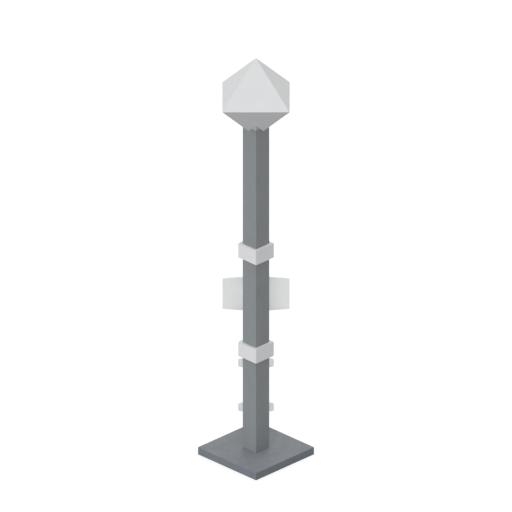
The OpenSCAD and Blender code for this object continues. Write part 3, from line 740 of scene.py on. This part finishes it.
def skin_over(rows, around, closed):
    """Faces over rows of corners. The last row joins the first, or else each end gets a lid."""
    faces = []
    for row in range(rows if closed else rows - 1):
        upper = (row + 1) % rows
        for step in range(around):
            ahead = (step + 1) % around
            low_edge = (row * around + step, row * around + ahead)
            faces.append((*low_edge, upper * around + ahead, upper * around + step))
    if not closed:
        faces.append(tuple(range(around)))
        faces.append(tuple((rows - 1) * around + step for step in range(around)))
    return faces


def turned_profile(name, profile, centre, axis, steps=48):
    """A closed piece turned round axis from (radius, height) points."""
    side, other = across(axis)
    vertices = []
    for radius, height in profile:
        for step in range(steps):
            angle = 2 * math.pi * step / steps
            out = side * math.cos(angle) + other * math.sin(angle)
            vertices.append(centre + axis * height + out * radius)
    return mesh_of(name, vertices, skin_over(len(profile), steps, False))


def rounded_square(half, radius, z, corner_steps=5):
    """Corners of a level square with rounded corners, turned so that a corner points along +Y."""
    points = []
    for corner in range(4):
        base = math.pi / 2 * corner
        centre = Vector((half - radius, half - radius))
        for step in range(corner_steps):
            angle = math.pi / 2 * step / (corner_steps - 1)
            flat = centre + Vector((math.cos(angle), math.sin(angle))) * radius
            turned = Matrix.Rotation(base + math.pi / 4, 2) @ flat
            points.append(Vector((turned.x, turned.y, z)))
    return points


def square_tube(name, profile):
    """A tube from (half side, corner radius, height) rows that run round its wall."""
    vertices = []
    for half, radius, z in profile:
        vertices.extend(rounded_square(half, radius, z))
    around = len(vertices) // len(profile)
    return mesh_of(name, vertices, skin_over(len(profile), around, True))


# ---- geometry-node trees


def node_tree(name, inputs):
    """An empty geometry tree: Geometry, the named inputs and a Finish go in; Geometry comes out."""
    tree = bpy.data.node_groups.new(name, "GeometryNodeTree")
    geometry = "NodeSocketGeometry"
    tree.interface.new_socket(name="Geometry", in_out="INPUT", socket_type=geometry)
    for label, kind, value in inputs:
        socket = tree.interface.new_socket(name=label, in_out="INPUT", socket_type=kind)
        socket.default_value = value
    material = "NodeSocketMaterial"
    tree.interface.new_socket(name="Finish", in_out="INPUT", socket_type=material)
    tree.interface.new_socket(name="Geometry", in_out="OUTPUT", socket_type=geometry)
    given = tree.nodes.new("NodeGroupInput")
    made = tree.nodes.new("NodeGroupOutput")
    return tree, given.outputs, made.inputs


def finish_tree(tree, geometry, given, made):
    """Ends a geometry tree: real meshes, with their paint."""
    real = result(tree, "GeometryNodeRealizeInstances", None, {0: geometry})
    inputs = {"Geometry": real, "Material": given["Finish"]}
    tree.links.new(result(tree, "GeometryNodeSetMaterial", None, inputs), made[0])
    return tree


def raised(tree, geometry, height):
    """A solid lifted by height along Z."""
    offset = result(tree, "ShaderNodeCombineXYZ", None, {2: height})
    inputs = {"Geometry": geometry, "Translation": offset}
    return result(tree, "GeometryNodeTransform", None, inputs)


def cone_node(tree, sides, low_radius, high_radius, depth):
    """A closed cone or pyramid that stands on the XY plane."""
    radii = {"Radius Top": high_radius, "Radius Bottom": low_radius}
    inputs = {"Vertices": sides, "Depth": depth, **radii}
    return add(tree, "GeometryNodeMeshCone", {"fill_type": "NGON"}, inputs).outputs["Mesh"]


def rod_node(tree, sides, radius, low, high):
    """A closed cylinder from low to high along Z."""
    depth = calc(tree, "SUBTRACT", high, low)
    inputs = {"Vertices": sides, "Radius": radius, "Depth": depth}
    solid = add(tree, "GeometryNodeMeshCylinder", {"fill_type": "NGON"}, inputs)
    middle = times(tree, calc(tree, "ADD", low, high), 0.5)
    return raised(tree, solid.outputs["Mesh"], middle)


def set_out(tree, points, solid, rotation=None):
    """A copy of solid on every point."""
    inputs = {"Points": points, "Instance": solid}
    if rotation is not None:
        inputs["Rotation"] = rotation
    return result(tree, "GeometryNodeInstanceOnPoints", None, inputs)


def standing_along(tree, way):
    """The rotation that stands a solid's Z axis along a way."""
    settings = {"axis": "Z"}
    return result(tree, "FunctionNodeAlignRotationToVector", settings, {"Vector": way})


def joined(tree, operation, first, others):
    """A mesh boolean of closed solids."""
    made = add(tree, "GeometryNodeMeshBoolean", {"operation": operation, "solver": "EXACT"})
    tree.links.new(first, made.inputs[0 if operation == "DIFFERENCE" else 1])
    for other in others:
        tree.links.new(other, made.inputs[1])
    return made.outputs[0]


def fastener_tree(kind):
    """Screws or rivets on seat points: each stands along its point's seat_axis, turned at random."""
    inputs = [
        ("Head diameter", FLOAT, 3.6 * MM),
        ("Head height", FLOAT, 1.2 * MM),
        ("Shank diameter", FLOAT, 2.0 * MM),
        ("Shank length", FLOAT, 4.0 * MM),
        ("Turn seed", "NodeSocketInt", 7),
    ]
    tree, given, made = node_tree(f"{kind} fasteners", inputs)
    head_r = times(tree, given["Head diameter"], 0.5)
    tip = times(tree, given["Shank length"], -1.0)
    top = given["Head height"]
    if kind == "Socket":
        solid = rod_node(tree, HEAD_SIDES, head_r, tip, top)
        socket_r = times(tree, head_r, SOCKET_SHARE)
        floor = plus(tree, top, head_r, -SOCKET_DEPTH_SHARE)
        tool = rod_node(tree, 6, socket_r, floor, calc(tree, "ADD", top, 1 * MM))
        solid = joined(tree, "DIFFERENCE", solid, [tool])
    else:
        shank_r = times(tree, given["Shank diameter"], 0.5)
        shank = rod_node(tree, SHANK_SIDES, shank_r, tip, times(tree, top, 0.3))
        shoulder = times(tree, top, SHOULDER_SHARE)
        washer = rod_node(tree, HEAD_SIDES, head_r, 0.0, shoulder)
        crown_r = times(tree, head_r, CROWN_SHARE)
        crown_depth = calc(tree, "SUBTRACT", top, shoulder)
        crown = raised(tree, cone_node(tree, HEAD_SIDES, head_r, crown_r, crown_depth), shoulder)
        solid = joined(tree, "UNION", shank, [washer, crown])
    if kind == "Slotted":
        width = times(tree, head_r, SCREW_SLOT_SHARE)
        long_way = times(tree, head_r, 3.0)
        size = result(tree, "ShaderNodeCombineXYZ", None, {0: long_way, 1: width, 2: top})
        slot = add(tree, "GeometryNodeMeshCube", None, {"Size": size})
        slot = raised(tree, slot.outputs["Mesh"], times(tree, top, 1.02))
        solid = joined(tree, "DIFFERENCE", solid, [slot])
    attribute = ("GeometryNodeInputNamedAttribute", {"data_type": "FLOAT_VECTOR"})
    stand = standing_along(tree, result(tree, *attribute, {"Name": "seat_axis"}))
    spread = {"Min": 0.0, "Max": 2 * math.pi, "Seed": given["Turn seed"]}
    turn = add(tree, "FunctionNodeRandomValue", {"data_type": "FLOAT"}, spread)
    about_z = {"Axis": (0, 0, 1), "Angle": turn.outputs["Value"]}
    turned = result(tree, "FunctionNodeAxisAngleToRotation", None, about_z)
    both = {0: stand, 1: turned}
    rotation = result(tree, "FunctionNodeRotateRotation", {"rotation_space": "LOCAL"}, both)
    placed = set_out(tree, given["Geometry"], solid, rotation)
    return finish_tree(tree, placed, given, made)


def ring_row_tree():
    """A row of rings along a handle, each a round bead."""
    inputs = [
        ("Rings", "NodeSocketInt", 5),
        ("Start", VECTOR, (0, 0, 0)),
        ("Step", VECTOR, (0, 1 * MM, 0)),
        ("Ring radius", FLOAT, 3 * MM),
        ("Bead radius", FLOAT, 0.3 * MM),
    ]
    tree, given, made = node_tree("Handle rings", inputs)
    run = {"Count": given["Rings"], "Start Location": given["Start"], "Offset": given["Step"]}
    row = result(tree, "GeometryNodeMeshLine", {"mode": "OFFSET"}, run)
    circle = ("GeometryNodeCurvePrimitiveCircle", {"mode": "RADIUS"})
    path = result(tree, *circle, {"Resolution": 40, "Radius": given["Ring radius"]})
    section = result(tree, *circle, {"Resolution": 10, "Radius": given["Bead radius"]})
    curves = {"Curve": path, "Profile Curve": section}
    bead = result(tree, "GeometryNodeCurveToMesh", None, curves)
    stand = standing_along(tree, given["Step"])
    placed = set_out(tree, row, bead, stand)
    return finish_tree(tree, placed, given, made)


def knurl_tree():
    """Straight ridges round each stop collar, so that fingers can turn it."""
    inputs = [
        ("Ridges", "NodeSocketInt", 30),
        ("Collar radius", FLOAT, 3 * MM),
        ("Ridge height", FLOAT, 4 * MM),
        ("Ridge width", FLOAT, 0.35 * MM),
    ]
    tree, given, made = node_tree("Collar knurls", inputs)
    round_it = {"Vertices": given["Ridges"], "Radius": given["Collar radius"]}
    circle = result(tree, "GeometryNodeMeshCircle", {"fill_type": "NONE"}, round_it)
    half = times(tree, given["Ridge height"], 0.5)
    ridge_r = times(tree, given["Ridge width"], 0.5)
    ridge = rod_node(tree, 6, ridge_r, times(tree, half, -1.0), half)
    each = set_out(tree, given["Geometry"], set_out(tree, circle, ridge))
    return finish_tree(tree, each, given, made)


def faceted_shell_tree():
    """Half of the finial: a hollow four-sided point over a square, from its three sizes."""
    inputs = [
        ("Half width", FLOAT, 36 * MM),
        ("Height", FLOAT, 46 * MM),
        ("Wall", FLOAT, 2 * MM),
        ("Seam height", FLOAT, 0.4),
    ]
    tree, given, made = node_tree("Faceted shell", inputs)
    across_w = calc(tree, "DIVIDE", 1.0, given["Half width"])
    up_h = calc(tree, "DIVIDE", 1.0, given["Height"])
    squares = plus(tree, times(tree, across_w, across_w), up_h, up_h)
    run = times(tree, given["Wall"], calc(tree, "SQRT", squares, 0.0))
    shrink = calc(tree, "SUBTRACT", 1.0, run)
    below = 1 * MM
    corner = times(tree, given["Half width"], ROOT2)
    inner_h = times(tree, given["Height"], shrink)
    longer = calc(tree, "ADD", inner_h, below)
    widen = calc(tree, "DIVIDE", longer, inner_h)
    inner_corner = times(tree, times(tree, corner, shrink), widen)
    outer = cone_node(tree, 4, corner, 0.0, given["Height"])
    inner = raised(tree, cone_node(tree, 4, inner_corner, 0.0, longer), -below)
    shell = joined(tree, "DIFFERENCE", outer, [inner])
    seat = result(tree, "ShaderNodeCombineXYZ", None, {2: given["Seam height"]})
    inputs = {"Geometry": shell, "Translation": seat, "Rotation": (0, 0, math.pi / 4)}
    placed = result(tree, "GeometryNodeTransform", None, inputs)
    return finish_tree(tree, placed, given, made)


def grown(name, tree, values, points=(), axes=()):
    """A piece that a geometry tree makes, on points and along their axes where it takes them."""
    mesh = bpy.data.meshes.new(name)
    mesh.from_pydata(list(points), [], [])
    if axes:
        attribute = mesh.attributes.new("seat_axis", "FLOAT_VECTOR", "POINT")
        attribute.data.foreach_set("vector", [part for axis in axes for part in axis])
    piece = piece_of(name, mesh)
    modifier = piece.modifiers.new(tree.name, "NODES")
    modifier.node_group = tree
    for item in tree.interface.items_tree:
        if item.item_type == "SOCKET" and item.in_out == "INPUT" and item.name in values:
            modifier[item.identifier] = values[item.name]
    return settle(piece)


TREES = {
    "Slotted": fastener_tree("Slotted"),
    "Socket": fastener_tree("Socket"),
    "Riveted": fastener_tree("Riveted"),
    "rings": ring_row_tree(),
    "knurls": knurl_tree(),
    "shell": faceted_shell_tree(),
}


def seats_of(node, axis_for):
    """Where each fastener of a CAD node sits: its seat, its axis and its sizes."""
    seats = []
    for group in islands(node):
        middle = sum(group, Vector()) / len(group)
        axis = axis_for(middle)
        side, other = across(axis)
        along = [corner.dot(axis) for corner in group]
        first = [corner.dot(side) for corner in group]
        second = [corner.dot(other) for corner in group]
        centre_a = (min(first) + max(first)) / 2
        centre_b = (min(second) + max(second)) / 2
        radii = [math.hypot(a - centre_a, b - centre_b) for a, b in zip(first, second)]
        widest = max(radii)
        head = [height for height, radius in zip(along, radii) if radius > 0.95 * widest]
        tip = min(along)
        ends = [radius for height, radius in zip(along, radii) if height < tip + 0.05 * MM]
        seat = side * centre_a + other * centre_b + axis * min(head)
        sizes = {
            "Head diameter": 2 * widest,
            "Head height": max(along) - min(head),
            "Shank diameter": 2 * max(ends),
            "Shank length": min(head) - tip,
        }
        seats.append((seat, axis, sizes))
    return seats


def fasteners(name, kind, seats, body, seed, node):
    """One piece that holds the like fasteners of a CAD node."""
    points, axes, sizes = zip(*seats)
    values = {**sizes[0], "Turn seed": seed, "Finish": FINISHES["steel"]}
    piece = grown(name, TREES[kind], values, points, axes)
    clean_solid(piece.data)
    soften(piece, HEAD_EDGE_SHARE * sizes[0]["Head diameter"], 2, HEAD_SHARP)
    return ready(piece, body, "steel", node)


def clean_solid(mesh):
    """Merges doubles and flat faces after a boolean, and smooths what is round."""
    shape = bmesh.new()
    shape.from_mesh(mesh)
    bmesh.ops.remove_doubles(shape, verts=shape.verts, dist=MERGE / 2)
    bmesh.ops.dissolve_limit(shape, angle_limit=FLAT, verts=shape.verts, edges=shape.edges)
    shape.to_mesh(mesh)
    shape.free()
    mesh.shade_smooth()


# ---- pieces of the post


def post():
    """The square post tube, with the rounded corners and dressed ends of drawn tube."""
    low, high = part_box("post_tube")
    outer = (high.x - low.x) / ROOT2 / 2
    inner = outer - POST_WALL
    lip = POST_LIP
    radius = POST_CORNER_R
    bore_r = POST_BORE_R
    profile = [
        (outer - lip, radius, low.z),
        (outer, radius, low.z + lip),
        (outer, radius, high.z - lip),
        (outer - lip, radius, high.z),
        (inner + lip, bore_r, high.z),
        (inner, bore_r, high.z - lip),
        (inner, bore_r, low.z + lip),
        (inner + lip, bore_r, low.z),
    ]
    mesh = square_tube("post", profile)
    mesh.shade_smooth()
    piece = piece_of("post", mesh)
    normals = piece.modifiers.new("Flat faces stay flat", "WEIGHTED_NORMAL")
    normals.keep_sharp = False
    settle(piece)
    return ready(piece, "root", "post_paint", "post_tube")


def finial_point():
    """The upper shell of the finial."""
    low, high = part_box("finial_upper_shell")
    values = {
        "Half width": high.x,
        "Height": high.z - low.z,
        "Wall": FINIAL_WALL,
        "Seam height": low.z,
        "Finish": FINISHES["white_paint"],
    }
    piece = grown("finial_point", TREES["shell"], values)
    clean_solid(piece.data)
    soften(piece, FINIAL_EDGE_R, 2)
    return ready(piece, "root", "white_paint", "finial_upper_shell")


def slanted(middle):
    """The way out of the post's two far faces, by the side that a point is on."""
    return Vector((math.copysign(1, middle.x), 1, 0)).normalized()


def towards_driver(_middle):
    """The way to the driver, whatever the seat."""
    return DRIVER_WAY


def upwards(_middle):
    """Straight up, whatever the seat."""
    return Vector((0, 0, 1))


def away_from_lever(_middle):
    """Square to the lever, on its upper side."""
    return Vector((1, 0, 0)).cross(lever_axis()).normalized()


FASTENERS = [
    # CAD node, piece, kind, body, seed of the turns, which way the heads face
    ("saddle_screws", "saddle_screws_set", "Slotted", "root", 11, slanted),
    ("board_screws", "board_screws_set", "Slotted", "root", 12, towards_driver),
    ("bracket_screws", "bracket_screws_set", "Slotted", "root", 13, upwards),
    ("collar_grub_screws", "collar_grubs_set", "Socket", "root", 14, slanted),
    ("blade_rivets", "blade_rivets_set", "Riveted", "arm", 21, towards_driver),
    ("stop_screws", "stop_screws_set", "Socket", "rod", 31, towards_driver),
    ("weight_grub_screw", "weight_grub_set", "Socket", "lever", 41, away_from_lever),
]


def every_fastener():
    """Screws, grub screws and rivets."""
    for node, name, kind, body, seed, facing in FASTENERS:
        fasteners(name, kind, seats_of(node, facing), body, seed, node)


# ---- pieces of the arm


def spectacle_glass(node, name, slot):
    """A pressed spectacle glass: flat behind, and gently domed to the driver."""
    low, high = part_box(node)
    centre = (low + high) / 2
    centre.y = low.y
    radius = (high.x - low.x) / 2
    thick = high.y - low.y
    rim = GLASS_RIM
    reach = radius - rim
    profile = [(GLASS_POLE, 0.0), (reach, 0.0), (radius, rim), (radius, thick - rim)]
    for step in range(GLASS_RINGS):
        share = step / (GLASS_RINGS - 1)
        out = reach * (1 - share) + GLASS_POLE * share
        height = thick + GLASS_DOME * (1 - (out / reach) ** 2)
        profile.append((out, height))
    mesh = turned_profile(name, profile, centre, DRIVER_WAY)
    mesh.shade_smooth()
    mesh.set_sharp_from_angle(angle=GLASS_SHARP)
    piece = piece_of(name, mesh)
    return ready(piece, "arm", slot, node)


# ---- pieces of the lamp


def lamp_handle():
    """The wire loop that the lamp is lifted by."""
    low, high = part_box("lamp_roof")
    centre_y = (low.y + high.y) / 2
    foot_x = (high.x - low.x) / 2 - HANDLE_INSET
    foot_z = low.z + HANDLE_FOOT
    rise = high.z + HANDLE_RISE - foot_z
    path = []
    for step in range(HANDLE_STEPS + 1):
        angle = math.pi * step / HANDLE_STEPS
        path.append(
            Vector((foot_x * math.cos(angle), centre_y, foot_z + rise * math.sin(angle)))
        )
    vertices = []
    for index, point in enumerate(path):
        ahead = path[min(index + 1, HANDLE_STEPS)]
        behind = path[max(index - 1, 0)]
        along = (ahead - behind).normalized()
        out = along.cross(DRIVER_WAY).normalized()
        for side in range(HANDLE_SIDES):
            angle = 2 * math.pi * side / HANDLE_SIDES
            turned = out * math.cos(angle) + DRIVER_WAY * math.sin(angle)
            vertices.append(point + turned * HANDLE_WIRE_R)
    mesh = mesh_of("lamp_handle", vertices, skin_over(len(path), HANDLE_SIDES, False))
    mesh.shade_smooth()
    mesh.set_sharp_from_angle(angle=HANDLE_SHARP)
    return ready(piece_of("lamp_handle", mesh), "lamp", "steel")


# ---- every softened node

SOFTENED = {
    # body: CAD node, piece, slot, edge radius in mm
    "root": [
        ("base_plate", "base", "base_paint", 0.35),
        ("neck_band", "neck", "white_paint", 0.2),
        ("finial_lower_shell", "finial_bowl", "white_paint", 0.3),
        ("collar_lower", "collar_low", "white_paint", 0.35),
        ("collar_upper", "collar_high", "white_paint", 0.35),
        ("number_board", "board", "white_paint", 0.25),
        ("board_saddle", "board_seat", "white_paint", 0.2),
        ("rod_guide_lower", "guide_low", "white_paint", 0.25),
        ("rod_guide_upper", "guide_high", "white_paint", 0.25),
        ("pivot_bracket", "arm_bracket", "black_paint", 0.2),
        ("pivot_screw", "arm_pivot_screw", "steel", 0.15),
        ("lamp_bracket", "lamp_shelf", "black_paint", 0.18),
        ("lever_bracket", "lever_stand", "black_paint", 0.25),
        ("lever_pivot_pin", "lever_pin", "steel", 0.15),
    ],
    "arm": [
        ("spectacle_casting", "spectacle", "black_paint", 0.2),
        ("arm_blade", "blade", "arm_enamel", 0.3),
        ("glass_rings", "spectacle_rings", "brass", 0.06),
        ("crank_pin", "crank_pin_turned", "steel", 0.15),
    ],
    "rod": [
        ("down_rod", "rod", "steel", 0.2),
        ("rod_yoke", "yoke", "steel", 0.2),
        ("rod_end", "rod_foot", "steel", 0.25),
        ("rod_end_pin", "rod_foot_pin", "steel", 0.12),
        ("stop_collars", "rod_stops", "steel", 0.15),
    ],
    "lamp": [
        ("lamp_case", "lamp_body", "lamp_paint", 0.12),
        ("lamp_roof", "lamp_top", "lamp_paint", 0.15),
        ("lamp_lens_ring", "lens_ring", "brass", 0.12),
    ],
    "lever": [
        ("balance_lever", "lever", "black_paint", 0.2),
        ("balance_weight", "weight", "weight_iron", 0.5),
        ("lever_grip", "grip", "grip_plastic", 0.3),
    ],
}

# Pieces whose edges take a third step
FINE_EDGES = {"base", "blade", "weight"}

# Pieces whose paint has aged apart from the rest of their slot
# Pieces with their own copy of their slot's paint: painted shade on the neck under the finial,
# painted light on the board and guides behind the post
OWN_FINISH = {
    "neck": "neck_paint",
    "board": "white_painted_light",
    "guide_low": "white_painted_light",
    "guide_high": "white_painted_light",
}

# CAD nodes whose shape stays: small turned parts, and parts that lie inside others
KEPT_NODES = {
    "post_top_plug": "post_paint",
    "tie_rod": "steel",
    "tie_nuts": "steel",
    "tie_washers": "steel",
    "guide_bushes": "brass",
    "pivot_bush": "brass",
    "crank_pin_clip": "brass",
    "rod_end_clip": "brass",
    "lever_pivot_clip": "brass",
    "lever_bush": "brass",
    "lamp_burner": "brass",
    "lamp_bullseye": "clear_glass",
}


def kept_nodes():
    """Paints the CAD nodes that stay as they are."""
    for node, slot in KEPT_NODES.items():
        shown = NODES[node]
        shown.data.materials.clear()
        shown.data.materials.append(FINISHES[slot])


def softened_nodes():
    """Every CAD node that gets real rounded edges."""
    for body, rows in SOFTENED.items():
        for node, name, slot, width in rows:
            softened_node(node, name, body, slot, width * MM)


def stop_knurls():
    """Ridges round the two stop collars."""
    groups = islands("stop_collars")
    centres = []
    for group in groups:
        ranges = [sorted(corner[way] for corner in group) for way in range(3)]
        centres.append(Vector([(run[0] + run[-1]) / 2 for run in ranges]))
    low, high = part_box("stop_collars")
    tall = max(corner.z for corner in groups[0]) - min(corner.z for corner in groups[0])
    values = {
        "Ridges": KNURLS,
        "Collar radius": (high.x - low.x) / 2 - KNURL_SINK,
        "Ridge height": tall - KNURL_MARGIN,
        "Ridge width": KNURL_WIDTH,
        "Finish": FINISHES["steel"],
    }
    return ready(grown("stop_knurls", TREES["knurls"], values, centres), "rod", "steel")


def middle_of(node):
    """The middle of a CAD node's box."""
    low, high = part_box(node)
    return (low + high) / 2


def lever_axis():
    """The way along the lever, from its bush to its weight."""
    along = middle_of("balance_weight") - middle_of("lever_bush")
    along.x = 0
    return along.normalized()


def grip_rings():
    """Turned beads round the handle."""
    along = lever_axis()
    middle = middle_of("lever_grip")
    low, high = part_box("lever_grip")
    radius = (high.x - low.x) / 2
    values = {
        "Rings": GRIP_BEADS,
        "Start": middle - along * BEADS_BEFORE_MIDDLE * BEAD_STEP,
        "Step": along * BEAD_STEP,
        "Ring radius": radius - BEAD_SINK,
        "Bead radius": BEAD_R,
        "Finish": FINISHES["grip_plastic"],
    }
    piece = grown("grip_rings", TREES["rings"], values)
    piece.data.shade_smooth()
    return ready(piece, "lever", "grip_plastic")


# ---- studio


def studio_floor():
    """A plain pale floor that stays white to the camera, and lights the object only gently."""
    half = FLOOR_HALF
    corners = ((-half, -half), (half, -half), (half, half), (-half, half))
    vertices = [(x, y, -FLOOR_DROP) for x, y in corners]
    mesh = bpy.data.meshes.new("studio_floor")
    mesh.from_pydata(vertices, [], [(0, 1, 2, 3)])
    floor = piece_of("studio_floor", mesh)
    material, tree = blank_material("Pale floor")
    shine = result(tree, "ShaderNodeBsdfDiffuse", None, {0: FLOOR_SHADE})
    seen = tree.nodes.new("ShaderNodeLightPath").outputs["Is Camera Ray"]
    glow = {"Strength": times(tree, seen, FLOOR_LIFT)}
    glow = result(tree, "ShaderNodeEmission", None, glow)
    both = result(tree, "ShaderNodeAddShader", None, {0: shine, 1: glow})
    add(tree, "ShaderNodeOutputMaterial", None, {0: both})
    mesh.materials.append(material)


def sun(name, way, strength, shadows):
    """A broad soft lamp a long way off, shining from way."""
    data = bpy.data.lights.new(name, "SUN")
    data.energy = strength
    data.angle = LAMP_SOFTNESS
    data.use_shadow = shadows
    lamp = bpy.data.objects.new(name, data)
    lamp.rotation_mode = "QUATERNION"
    lamp.rotation_quaternion = Vector(way).to_track_quat("Z", "Y")
    bpy.context.scene.collection.objects.link(lamp)


def studio():
    """Floor, plain light all round, two broad lamps and the camera."""
    studio_floor()
    world = bpy.data.worlds.new("Studio light")
    bpy.context.scene.world = world
    world.use_nodes = True
    background = world.node_tree.nodes["Background"]
    background.inputs[0].default_value = (1, 1, 1, 1)
    background.inputs[1].default_value = SKY_STRENGTH
    sun("Key", KEY_WAY, KEY_STRENGTH, False)
    sun("Back fill", BACK_WAY, BACK_STRENGTH, True)
    data = bpy.data.cameras.new("Camera")
    data.type = "ORTHO"
    data.ortho_scale = CAMERA_WIDTH
    data.clip_start, data.clip_end = CAMERA_REACH
    camera = bpy.data.objects.new("Camera", data)
    back = Vector((0, -math.cos(CAMERA_ELEVATION), math.sin(CAMERA_ELEVATION)))
    camera.location = Vector((0, 0, CAMERA_AIM)) + back * CAMERA_DISTANCE
    camera.rotation_mode = "QUATERNION"
    camera.rotation_quaternion = (-back).to_track_quat("-Z", "Y")
    bpy.context.scene.collection.objects.link(camera)
    bpy.context.scene.camera = camera
    bpy.context.scene.view_settings.view_transform = "Standard"


def signal():
    """Builds the whole signal."""
    post()
    finial_point()
    softened_nodes()
    kept_nodes()
    every_fastener()
    spectacle_glass("glass_red", "red_spectacle", "red_glass")
    spectacle_glass("glass_green", "green_spectacle", "green_glass")
    stop_knurls()
    lamp_handle()
    grip_rings()


signal()
studio()
